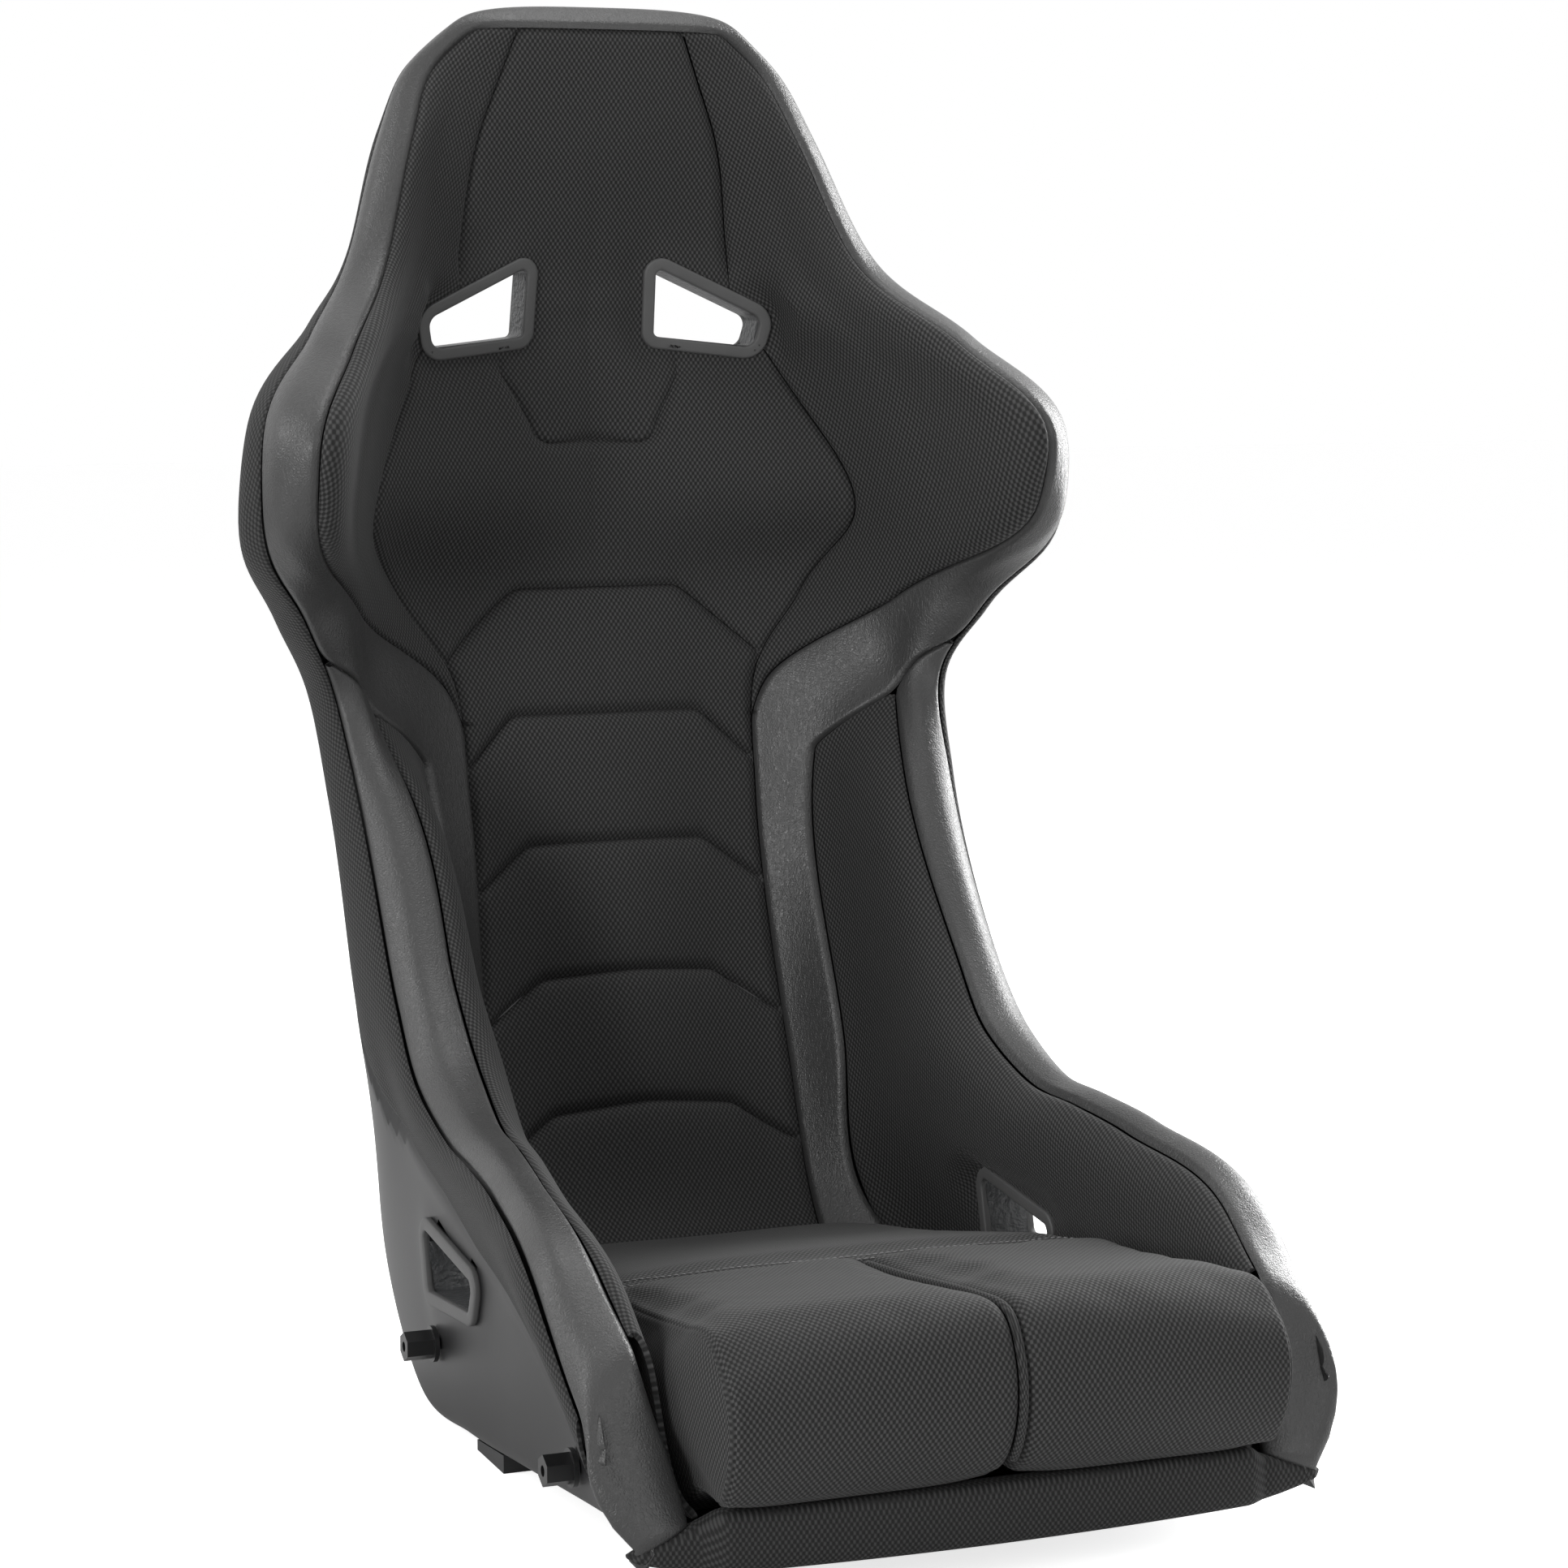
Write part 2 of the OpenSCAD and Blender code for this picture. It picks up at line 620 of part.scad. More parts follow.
// Hexagonal threaded heads, each on a round plate, with studs that go through the shell's side.
boss_places = [boss_front, boss_front + boss_pitch];
plate_proud = 2.1;
plate_inside = [for (y = boss_places) side_x(y, boss_height) + plate_proud];
stud_length = plate_thick + shell_wall + 1;
module at_bosses() {
    for (k = [0, 1])
        both()
            translate([plate_inside[k], boss_places[k], boss_height])
                rotate([0, 90, 0])
                    children(k);
}
module side_bosses() {
    color([0.06, 0.06, 0.06])
        place()
            at_bosses() {
                side_boss(boss_face - plate_inside[0] - plate_thick);
                side_boss(boss_face - plate_inside[1] - plate_thick);
            }
}
module side_boss(length) {
    difference() {
        union() {
            translate([0, 0, plate_thick])
                cylinder(r = boss_flats / sqrt(3), h = length, $fn = 6);
            translate([0, 0, plate_thick - stud_length])
                cylinder(r = stud_r, h = stud_length);
        }
        translate([0, 0, plate_thick + length - thread_depth])
            cylinder(r = thread_r, h = thread_depth + 1);
    }
}
module boss_plates() {
    color([0.3, 0.3, 0.3])
        place()
            at_bosses() {
                boss_plate();
                boss_plate();
            }
}
module boss_plate() {
    difference() {
        cylinder(r = boss_flats * 0.7, h = plate_thick);
        translate([0, 0, -1])
            cylinder(r = stud_r + 0.2, h = plate_thick + 2);
    }
}
module boss_holes() {
    at_bosses() {
        boss_hole();
        boss_hole();
    }
}
module boss_hole() {
    translate([0, 0, -40])
        cylinder(r = stud_r + slot_clear, h = 60, $fn = 24);
}

// A steel bar across the pan's underside, bevelled to its slope, drilled and tapped at both ends.
module crossmember() {
    color([0.12, 0.12, 0.12])
        place()
            difference() {
                translate([-rail_half, rail_middle, -foot_height])
                    rotate([90, 0, 90])
                        linear_extrude(2 * rail_half)
                            polygon([[-rail_width / 2, 0], [rail_width / 2, 0],
                                     [rail_width / 2, rail_height],
                                     [-rail_width / 2, rail_height + rail_rise]]);
                both()
                    translate([base_half, rail_middle, -foot_height - 1])
                        cylinder(r = thread_r, h = rail_height);
            }
}

// Height of the cushion's top, bottom and half width at the depth y.
function cushion_top(y) =
    y < -24 ? 138 - 36 * (1 - sqrt(max(0, 1 - pow((y + 24) / (cushion_front - 24), 2))))
    : lookup(y, [[-24, 138], [cushion_split, 109], [350, 75], [540, 38]]);
lip_rear = (lip_depth - 10) / 2;
function cushion_low(y) =
    cushion_gap + (y < lip_rear + 30
                   ? lookup(y, [[-cushion_front, 38], [-30, lip_top + 4], [lip_rear + 4, lip_top + 2],
                                [lip_rear + 30, pan_floor(lip_rear + 30)]])
                   : pan_floor(y));
function pan_floor(y) =
    lookup(y, [for (i = [0 : heel_row])
        let(row = sections[i], t = row[15] - shell_wall)
        [row[0] + t * cos(row[2]), row[1] + t * sin(row[2])]]);
function cushion_wide(y) =
    lookup(y, [[60, cushion_half], [250, cushion_half - 3], [350, 168], [450, 158], [530, 132]]);
// How far the end of a pad is rounded in at the distance d from it.
function drawn_in(d) =
    d > cushion_round ? 0
    : cushion_round - sqrt(pow(cushion_round, 2) - pow(cushion_round - d, 2));

// A section of the cushion from x0 to x1, drawn in by inset, as n top and n bottom points.
function cushion_ring(y, x0, x1, inset, n) =
    let(top = cushion_top(y) - inset, low = cushion_low(y) + inset, mid = (x0 + x1) / 2,
        w = (x1 - x0) / 2 - inset, tall = (top - low) / 2)
    concat([for (j = [0 : n - 1])
                let(a = 180 - 180 * (j + 0.5) / n)
                [mid + w * sign(cos(a)) * pow(abs(cos(a)), 0.3), y,
                 low + tall + tall * pow(sin(a), 0.3) + cushion_crown * (sin(a) - 0.5)]],
           [for (j = [n - 1 : -1 : 0])
                let(a = 180 - 180 * (j + 0.5) / n)
                [mid + w * sign(cos(a)) * pow(abs(cos(a)), 0.4), y,
                 low + tall - tall * pow(sin(a), 0.4)]]);
module cushion_thigh() {
    rows = 16;
    lo = -cushion_front;
    hi = cushion_split - seam_gap / 2;
    color([0.2, 0.2, 0.2])
        place()
            loft([for (i = [0 : rows])
                let(y = mix(lo, hi, 0.5 - 0.5 * cos(180 * i / rows)))
                cushion_ring(y, cushion_groove / 2, cushion_wide(y),
                             drawn_in(y - lo) + 0.4 * drawn_in(hi - y), 11)]);
}
module cushion_rear_pad() {
    rows = 12;
    lo = cushion_split + seam_gap / 2;
    color([0.2, 0.2, 0.2])
        place()
            loft([for (i = [0 : rows])
                let(y = mix(lo, cushion_rear, 0.5 - 0.5 * cos(180 * i / rows)))
                cushion_ring(y, -cushion_wide(y), cushion_wide(y),
                             0.4 * drawn_in(y - lo) + drawn_in(cushion_rear - y), 16)]);
}
// A bead along the groove between the thigh pads, over the top and down the front.
piping_sunk = 7.4;
module cushion_piping() {
    turns = 14;
    over = [for (i = [0 : turns])
        let(y = mix(cushion_split - 12, piping_sunk - 1 - cushion_front, sin(90 * i / turns)))
        [0, y, cushion_top(y) - piping_sunk]];
    down = [for (i = [1 : 3])
        [0, piping_sunk - cushion_front, mix(cushion_top(-cushion_front) - piping_sunk, 52, i / 3)]];
    path = concat(over, down);
    last = len(path) - 1;
    color([0.14, 0.14, 0.14])
        place()
            loft([for (i = [0 : last])
                let(along = unit(path[min(i + 1, last)] - path[max(i - 1, 0)]))
                [for (j = [0 : 5])
                    let(a = 60 * j + 30)
                    path[i] + piping_r * [-cos(a), -sin(a) * along[2], sin(a) * along[1]]]]);
}

moulded_shell();
head_panel();
left() side_panel();  // side_panel_left
right() side_panel();  // side_panel_right
upper_back_panel();
back_band(1);  // back_band_1
back_band(2);  // back_band_2
back_band(3);  // back_band_3
back_band(4);  // back_band_4
back_band(5);  // back_band_5
left() edging_upper();  // edging_upper_left
right() edging_upper();  // edging_upper_right
edging_head();
left() hip_panel();  // hip_panel_left
right() hip_panel();  // hip_panel_right
left() hip_edging();  // hip_edging_left
right() hip_edging();  // hip_edging_right
left() end_cap();  // end_cap_left
right() end_cap();  // end_cap_right
left() outer_wrap();  // outer_wrap_left
right() outer_wrap();  // outer_wrap_right
front_lip();
shoulder_bezels(true);  // shoulder_bezels_front
shoulder_bezels(false);  // shoulder_bezels_rear
shoulder_sleeves();
lap_bezels(true);  // lap_bezels_inner
lap_bezels(false);  // lap_bezels_outer
lap_sleeves();
side_bosses();
boss_plates();
crossmember();
left() cushion_thigh();  // cushion_thigh_left
right() cushion_thigh();  // cushion_thigh_right
cushion_rear_pad();
cushion_piping();
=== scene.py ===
import math
import bmesh
import bpy
import numpy as np
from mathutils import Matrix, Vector
from mathutils.kdtree import KDTree


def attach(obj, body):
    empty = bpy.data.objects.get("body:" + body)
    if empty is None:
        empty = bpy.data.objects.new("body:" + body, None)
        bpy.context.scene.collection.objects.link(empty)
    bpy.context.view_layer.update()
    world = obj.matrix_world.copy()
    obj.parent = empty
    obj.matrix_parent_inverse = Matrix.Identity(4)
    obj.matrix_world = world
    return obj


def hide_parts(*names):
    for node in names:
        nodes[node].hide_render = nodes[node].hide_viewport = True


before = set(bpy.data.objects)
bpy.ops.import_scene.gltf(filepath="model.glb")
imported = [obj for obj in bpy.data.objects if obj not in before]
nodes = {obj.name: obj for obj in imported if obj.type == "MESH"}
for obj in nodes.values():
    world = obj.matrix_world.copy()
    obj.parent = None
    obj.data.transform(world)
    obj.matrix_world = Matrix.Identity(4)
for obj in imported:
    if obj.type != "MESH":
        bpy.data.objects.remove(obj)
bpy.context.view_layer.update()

scene = bpy.context.scene
print("frame loaded:", len(nodes), "nodes")

# Seat form.
# Millimetres from the foot line: y to the rear, z up. One row per section: depth, height and slant
# of its plane, then [across, along] pairs for the panel seam, the bolster, the inner seam, the
# outer seam, the side and the rear corner, and the depth of the back.
sections = np.array([
    [0, 14, -112, 110, 0, 176, -8, 204, -112, 240, -68, 232, -16, 222, 8, 6],
    [60, 8, -103, 110, 0, 180, -10, 206, -144, 242, -124, 219, -28, 213, 11, 6],
    [230, -7, -83, 110, 0, 182, -14, 198, -178, 231, -170, 216, -96, 212, 13, 10],
    [340, -15, -70, 110, 0, 182, -16, 192, -204, 226, -194, 216, -130, 212, 16, 14],
    [447, -14, -58, 112, 0, 174, -22, 187, -229, 223, -218, 217, -167, 206, 25, 21],
    [536, 51, -46, 112, -3, 141, -25, 182, -213, 223, -198, 218, -140, 202, 27, 28],
    [577, 155, -34, 112, 7, 140, -31, 182, -167, 221, -149, 228, -105, 201, 8, 28],
    [641, 347, -10, 108, -2, 143, -24, 182, -108, 221, -103, 231, -78, 200, 0, 26],
    [664, 430, 0, 114, -8, 158, -38, 197, -72, 227, -94, 238, -69, 206, -8, 26],
    [678, 490, 5, 151, -17, 178, -50, 203, -87, 250, -128, 264, -105, 222, -34, 26],
    [688, 590, 9, 172, -58, 215, -130, 261, -212, 293, -182, 300, -166, 246, -76, 26],
    [697, 650, 11, 140, -31, 200, -122, 264, -236, 289, -184, 292, -168, 236, -72, 24],
    [697, 700, 10, 106, -20, 164, -84, 224, -173, 240, -124, 236, -100, 196, -28, 22],
    [690, 740, 8, 100, -12, 138, -40, 176, -83, 194, -48, 191, -36, 160, 4, 28],
    [670, 820, 4, 88, -3, 116, -10, 144, -24, 160, 8, 158, 18, 132, 32, 38],
    [663, 860, 2, 74, 0, 100, 0, 127, 1, 141, 24, 138, 31, 112, 40, 40],
    [658, 893, 0, 62, 1, 78, 3, 92, 7, 108, 26, 105, 31, 86, 37, 37]], float)
crown = np.array([[0, 657, 895], [0, 676, 908], [0, 703, 887]], float)
form = {"midDepth": 336, "footHeight": 38, "rollRise": 9, "cornerRound": 16, "backShare": 0.55,
        "heelRow": 5, "waistRow": 8, "neckRow": 13, "lastRow": 16,
        "stripStart": 7.6, "stripMeetsHip": 7.8, "stripEnd": 8.55}


def unit(v):
    return v / np.maximum(np.linalg.norm(v, axis=-1, keepdims=True), 1e-9)


def stepTo(v, lo, hi):
    return np.clip((np.asarray(v, float) - lo) / (hi - lo), 0, 1)


def eased(f):
    return f * f * (3 - 2 * f)


# A smooth curve through points p, shape (number, points, values), at places v, shape (number,).
# sharp names the pair of points between which the tangents are plain chords.
def onCurve(p, v, sharp=()):
    count = p.shape[1]
    d = np.linalg.norm(p[:, 1:] - p[:, :-1], axis=2)
    d = np.maximum(d, 1e-9)
    step = (p[:, 1:] - p[:, :-1]) / d[:, :, None]
    tangent = np.empty_like(p)
    tangent[:, 0] = step[:, 0]
    tangent[:, -1] = step[:, -1]
    both = (d[:, :-1] + d[:, 1:])[:, :, None]
    tangent[:, 1:-1] = (step[:, :-1] * d[:, 1:, None] + step[:, 1:] * d[:, :-1, None]) / both
    for i in sharp:
        tangent[:, i] = (p[:, i + 1] - p[:, i - 1]) / both[:, i - 1]
    i = np.clip(np.floor(v).astype(int), 0, count - 2)
    f = (v - i)[:, None]
    n = np.arange(len(v))
    return ((2 * f**3 - 3 * f**2 + 1) * p[n, i] + (3 * f**2 - 2 * f**3) * p[n, i + 1]
            + d[n, i][:, None] * ((f**3 - 2 * f**2 + f) * tangent[n, i]
                                  + (f**3 - f**2) * tangent[n, i + 1]))


def sectionAt(u):
    table = np.broadcast_to(sections, (len(u),) + sections.shape)
    return onCurve(table, u)


# Places round a section: 0 middle of the front, 1 panel seam, 2 bolster, 3 inner seam, 4 top of the
# roll, 5 outer seam, 6 side, 7 and 8 rear corner, 9 behind it, 10 middle of the back.
def outlineOf(rows):
    pair = lambda k: rows[:, k:k + 2]
    e, f, side, corner = pair(7), pair(9), pair(11), pair(13)
    chord = unit(f - e)
    rise = form["rollRise"] * np.stack([chord[:, 1], -chord[:, 0]], 1)
    back = np.stack([0 * rows[:, 15], rows[:, 15]], 1)
    shoulder = np.stack([corner[:, 0] * form["backShare"],
                         rows[:, 15] * 0.7 + corner[:, 1] * 0.3], 1)
    r = form["cornerRound"]
    return np.stack([0 * back, pair(3), pair(5), e, (e + f) / 2 + rise, f, side,
                     corner + r * unit(side - corner), corner + r * unit(shoulder - corner),
                     shoulder, back], 1)


# The seat's skin at section u and outline place v, pushed in by depth; -v is the other side.
def skin(u, v, depth=0.0):
    u, v, depth = np.broadcast_arrays(np.asarray(u, float), np.asarray(v, float),
                                      np.asarray(depth, float))
    shape = u.shape
    u, v, depth = u.ravel(), v.ravel(), depth.ravel()
    rows = sectionAt(u)
    outline = outlineOf(rows)
    a = np.abs(v)
    at = onCurve(outline, a, (7, 8))
    ahead = onCurve(outline, np.minimum(a + 0.02, 10), (7, 8))
    step = ahead - onCurve(outline, np.maximum(a - 0.02, 0), (7, 8))
    inward = unit(np.stack([-step[:, 1], step[:, 0]], 1))
    inward[a <= 0] = (0, 1)
    p = at + depth[:, None] * inward
    s = np.radians(rows[:, 2])
    out = np.stack([np.sign(v) * p[:, 0], rows[:, 0] + p[:, 1] * np.cos(s),
                    rows[:, 1] + p[:, 1] * np.sin(s)], 1)
    return out.reshape(shape + (3,))


heights = np.linspace(form["heelRow"], form["lastRow"], 1200)
heightTable = sectionAt(heights)[:, 1]


def rowAt(z):
    return np.interp(z, heightTable, heights)


# Outline places of the strip's two seams, by section.
stripSeam = np.array([
    [7.6, 1.0], [7.8, 1.1], [7.95, 1.18], [8.1, 1.33], [8.25, 1.53], [8.4, 1.75], [8.55, 2.01],
    [8.7, 2.29], [8.85, 2.54], [9.0, 2.78], [9.15, 2.98], [9.3, 3.08], [9.5, 3.1], [9.75, 3.06],
    [10, 3.01], [10.4, 3.0]])


def stripInner(u):
    return np.interp(u, stripSeam[:, 0], stripSeam[:, 1])


def stripOuter(u):
    u = np.asarray(u, float)
    return np.where(u < 7.3, 2, 2 + 3 * stepTo(u, 7.3, form["stripEnd"])**1.3)


def wrapEnd(u):
    return 6 + stepTo(u, form["heelRow"], form["waistRow"])


def toModel(p):
    return (np.asarray(p, float) + (0, -form["midDepth"], form["footHeight"])) / 1000


# Smooths each column of a grid of points along its length; share tells each row how much.
def softened(p, reach, share):
    out = p.copy()
    for j in range(p.shape[1]):
        s = np.concatenate([[0], np.cumsum(np.linalg.norm(np.diff(p[:, j], axis=0), axis=1))])
        even = np.linspace(0, s[-1], max(int(s[-1]), 8))
        line = np.stack([np.interp(even, s, p[:, j, k]) for k in range(3)], 1)
        step = even[1] - even[0]
        width = int(3 * reach / step) + 1
        bell = np.exp(-0.5 * (np.arange(-width, width + 1) * step / reach)**2)
        bell /= bell.sum()
        padded = np.concatenate([2 * line[:1] - line[width:0:-1], line,
                                 2 * line[-1:] - line[-2:-width - 2:-1]])
        soft = np.stack([np.convolve(padded[:, k], bell, "valid") for k in range(3)], 1)
        moved = np.stack([np.interp(s, even, soft[:, k]) for k in range(3)], 1)
        out[:, j] += (moved - p[:, j]) * share[:, None]
    return out


# Stations from 0 to 1, closer together at both ends, where the seams turn in.
def stations(count, crowd=0.85):
    t = np.linspace(0, 1, count + 1)
    return (1 - crowd) * t + crowd * (0.5 - 0.5 * np.cos(np.pi * t))


# Slot outlines.
# Local x runs outwards (shoulder) or rearwards (lap), y up and z out of the face.
slots = {
    "shoulder": {"at": (92, 684, 693), "deep": 27, "ring": 9,
                 "corners": [(-40, 24, 4), (25.5, -9.5, 9), (24, -16.5, 9), (-39, -17, 4)]},
    "lap": {"at": (216, 347, 82), "deep": 30, "ring": 9,
            "corners": [(46, 10, 6), (39.5, -18, 5), (-43, -10, 6), (-47, 0, 6)]}}
lean, yaw = math.radians(11), math.radians(13)
ringPoints = 128


def slotAxes(kind, side):
    if kind == "lap":
        axes = np.array([[0, 1, 0], [0, 0, 1], [1, 0, 0]], float)
    else:
        turn = np.array([[math.cos(yaw), math.sin(yaw), 0], [-math.sin(yaw), math.cos(yaw), 0],
                         [0, 0, 1]])
        tip = np.array([[1, 0, 0], [0, math.cos(lean), -math.sin(lean)],
                        [0, math.sin(lean), math.cos(lean)]])
        axes = np.array([tip @ turn @ a for a in ((1, 0, 0), (0, 0, 1), (0, -1, 0))])
    axes[:, 0] *= side
    at = np.array(slots[kind]["at"], float) * (side, 1, 1)
    return at, axes


# How far the slot moves in its own plane for each step out of it.
def slotSlide(kind):
    if kind == "lap":
        return np.zeros(2)
    return np.array([math.tan(yaw), math.tan(lean) / math.cos(yaw)])


# The slot's rounded outline, grown by the given amount, as points and their outward normals.
def slotRing(kind, grow):
    angle = np.linspace(0, 2 * np.pi, ringPoints, endpoint=False)
    n = np.stack([np.cos(angle), np.sin(angle)], 1)
    c = np.array(slots[kind]["corners"], float)
    best = np.argmax(n @ c[:, :2].T + c[:, 2], axis=1)
    return c[best, :2] + (c[best, 2] + grow)[:, None] * n, n


# How far points lie outside the middle line of the slot's bezel, their heights over its plane,
# and the directions away from it.
def slotDistance(kind, side, p):
    at, axes = slotAxes(kind, side)
    local = (p - at) @ axes.T
    flat = local[..., :2] - slotSlide(kind) * local[..., 2:]
    ring, n = slotRing(kind, slots[kind]["ring"] * 0.5)
    reach = np.sum(ring * n, axis=1)
    over = flat @ n.T - reach
    return over.max(axis=-1), local[..., 2], n[over.argmax(axis=-1)]


# Holds a cover down to the bezels that it meets, and lines its points up with their rings.
# holds has (kind, side, level of the cover's points at the bezel, reach above and below it).
holdSpec = {"reach": 15.0, "start": 4, "near": 3, "far": 13, "steep": 1.6, "snap": 1.3}


def holdToSlots(p, holds):
    s = holdSpec
    for kind, side, level, near in holds:
        at, axes = slotAxes(kind, side)
        over, height, n = slotDistance(kind, side, p)
        away = np.abs(height - level)
        window = eased(np.clip(s["steep"] * (1 - away / near), 0, 1))
        window = 1 - (1 - window) * stepTo(over, s["near"], s["far"])
        w = np.exp(-(np.maximum(over - s["start"], 0) / s["reach"])**2) * window * (away < 2 * near)
        p = p + ((level - height) * w)[..., None] * axes[2]
        snap = (away < near) & (np.abs(over) < s["snap"])
        p = p + (n @ axes[:2]) * (-over * snap)[..., None]
    return p


def insideSlots(p, holds):
    gone = np.zeros(p.shape[:-1], bool)
    for kind, side, level, near in holds:
        over, height, n = slotDistance(kind, side, p)
        gone |= (over < -0.05) & (np.abs(height - level) < near)
    return gone


# Meshes.
def link(name, bm, material):
    mesh = bpy.data.meshes.new(name)
    bm.to_mesh(mesh)
    bm.free()
    obj = bpy.data.objects.new(name, mesh)
    scene.collection.objects.link(obj)
    mesh.materials.append(material)
    mesh.polygons.foreach_set("use_smooth", [True] * len(mesh.polygons))
    return obj


def addModifier(obj, kind, **values):
    modifier = obj.modifiers.new(kind.title(), kind)
    for key, value in values.items():
        setattr(modifier, key, value)
    return modifier


def applyModifiers(obj):
    with bpy.context.temp_override(object=obj, active_object=obj, selected_objects=[obj]):
        for modifier in list(obj.modifiers):
            bpy.ops.object.modifier_apply(modifier=modifier.name)


# A grid of points, (rows, columns, 3) in millimetres, as a bmesh grid. Its faces look away from
# the seat where the rows run up and the columns to the sitter's left. Faces with two points or
# more marked in gone are left out.
def gridMesh(points, gone=None):
    rows, columns = points.shape[:2]
    bm = bmesh.new()
    bmesh.ops.create_grid(bm, x_segments=columns - 1, y_segments=rows - 1, size=1)
    place = toModel(points)
    index = bm.verts.layers.int.new("place")
    for v in bm.verts:
        j = round((v.co.x + 1) / 2 * (columns - 1))
        i = round((v.co.y + 1) / 2 * (rows - 1))
        v[index] = i * columns + j
        v.co = place[i, j]
    if gone is not None:
        flat = gone.ravel()
        bmesh.ops.delete(bm, geom=[f for f in bm.faces
                                   if sum(flat[v[index]] for v in f.verts) >= 2], context="FACES")
        bmesh.ops.delete(bm, geom=[v for v in bm.verts if not v.link_faces], context="VERTS")
    for e in bm.edges:
        e.smooth = not e.is_boundary
    return bm


# Lengths along a grid's rows or columns.
def arcs(p, axis):
    step = np.linalg.norm(np.diff(p, axis=axis), axis=2)
    pad = [(0, 0), (0, 0)]
    pad[axis] = (1, 0)
    return np.cumsum(np.pad(step, pad), axis=axis)


def gridNormals(p):
    along = np.gradient(p, axis=0)
    across = np.gradient(p, axis=1)
    return unit(np.cross(across, along))


# Turns a right side's grid round, so that its columns run to the sitter's left as well.
def leftwards(p, side):
    return p if side > 0 else p[:, ::-1]


# Raises a grid between its seams and turns it in at them. seams names the edges that are sewn:
# first and last row, first and last column.
def sewn(p, spec, seams="abcd"):
    n = gridNormals(p)
    up, across = arcs(p, 0), arcs(p, 1)
    edges = {"a": up, "b": up[-1:] - up, "c": across, "d": across[:, -1:] - across}
    rise = np.zeros(p.shape[:2])
    swell = np.ones(p.shape[:2])
    for key in seams:
        d = np.maximum(edges[key], 0)
        rise -= spec["dip"] * np.clip(1 - d / spec["turn"], 0, 1)**spec.get("curl", 2.4)
        swell *= 1 - np.exp(-d / spec.get("ease", 22))
    rise += spec.get("puff", 0) * swell
    if "lead" in spec:    # fuller at the top than at the bottom
        share = edges["a"] / np.maximum(up[-1:], 1e-6)
        rise += spec["lead"] * swell * (share - 0.5)
    return p + n * np.maximum(rise, -spec["dip"] * 1.05)[..., None]


# Lays a cover's cloth out flat, so that the weave runs true and keeps its real size.
def layFlat(obj, upwards):
    mesh = obj.data
    if not mesh.uv_layers:
        mesh.uv_layers.new(name="cloth")
    for other in bpy.context.selected_objects:
        other.select_set(False)
    obj.select_set(True)
    bpy.context.view_layer.objects.active = obj
    bpy.ops.object.mode_set(mode="EDIT")
    bpy.ops.mesh.select_all(action="SELECT")
    bpy.ops.uv.unwrap(method="ANGLE_BASED", margin=0)
    bpy.ops.object.mode_set(mode="OBJECT")
    obj.select_set(False)
    uv = np.empty(len(mesh.loops) * 2)
    mesh.uv_layers[0].data.foreach_get("uv", uv)
    uv = uv.reshape(-1, 2)
    co = np.empty(len(mesh.vertices) * 3)
    mesh.vertices.foreach_get("co", co)
    co = co.reshape(-1, 3)
    corner = np.empty(len(mesh.loops), int)
    mesh.loops.foreach_get("vertex_index", corner)
    at = co[corner]
    following = np.arange(len(corner)) + 1
    starts = np.array([f.loop_start for f in mesh.polygons])
    totals = np.array([f.loop_total for f in mesh.polygons])
    following[starts + totals - 1] = starts
    real = at[following] - at
    flat = uv[following] - uv
    scale = np.linalg.norm(real, axis=1).sum() / max(np.linalg.norm(flat, axis=1).sum(), 1e-9)
    # The direction on the flat cloth that rises fastest in the real one is turned upwards.
    lift = real @ np.asarray(upwards, float)
    direction = (flat * lift[:, None]).sum(axis=0)
    angle = math.pi / 2 - math.atan2(direction[1], direction[0])
    turn = np.array([[math.cos(angle), -math.sin(angle)], [math.sin(angle), math.cos(angle)]])
    mesh.uv_layers[0].data.foreach_set("uv", (uv * scale @ turn.T).ravel())


# One sewn cover: a grid of points with its seams, a cloth layout and a closed back.
def cover(name, points, spec, material, replaced, seams="abcd", holds=(), upwards=(0, 0.15, 1)):
    p = sewn(points, spec, seams)
    gone = None
    if holds:
        p = holdToSlots(p, holds)
        gone = insideSlots(p, holds)
    obj = link(name, gridMesh(p, gone), material)
    layFlat(obj, upwards)
    addModifier(obj, "SOLIDIFY", thickness=spec["thick"] / 1000, offset=-1)
    finish(obj, "seat", replaced)


def finish(obj, body, replaced):
    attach(obj, body)
    if replaced:
        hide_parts(*replaced)


# Materials.
def srgb(code):
    values = [int(code[i:i + 2], 16) / 255 for i in (1, 3, 5)]
    return tuple(c / 12.92 if c <= 0.04045 else ((c + 0.055) / 1.055)**2.4 for c in values) + (1,)


def addNode(tree, kind, values=None, links=None, **settings):
    node = tree.nodes.new(kind)
    for key, value in settings.items():
        setattr(node, key, value)
    for key, value in (values or {}).items():
        node.inputs[key].default_value = value
    for key, source in (links or {}).items():
        tree.links.new(source, node.inputs[key])
    return node


# Raises a surface by a height node; depth is in millimetres.
def addBump(tree, shader, height, spec):
    bump = addNode(tree, "ShaderNodeBump",
                   {"Strength": spec["bump"], "Distance": spec["depth"] / 1000},
                   {"Height": height.outputs[0]})
    tree.links.new(bump.outputs[0], shader.inputs["Normal"])


def newMaterial(name, slot, **values):
    material = bpy.data.materials.new(name)
    material.use_nodes = True
    material["slot"] = slot
    tree = material.node_tree
    shader = tree.nodes["Principled BSDF"]
    for key, value in values.items():
        shader.inputs[key].default_value = value
    return material, tree, shader


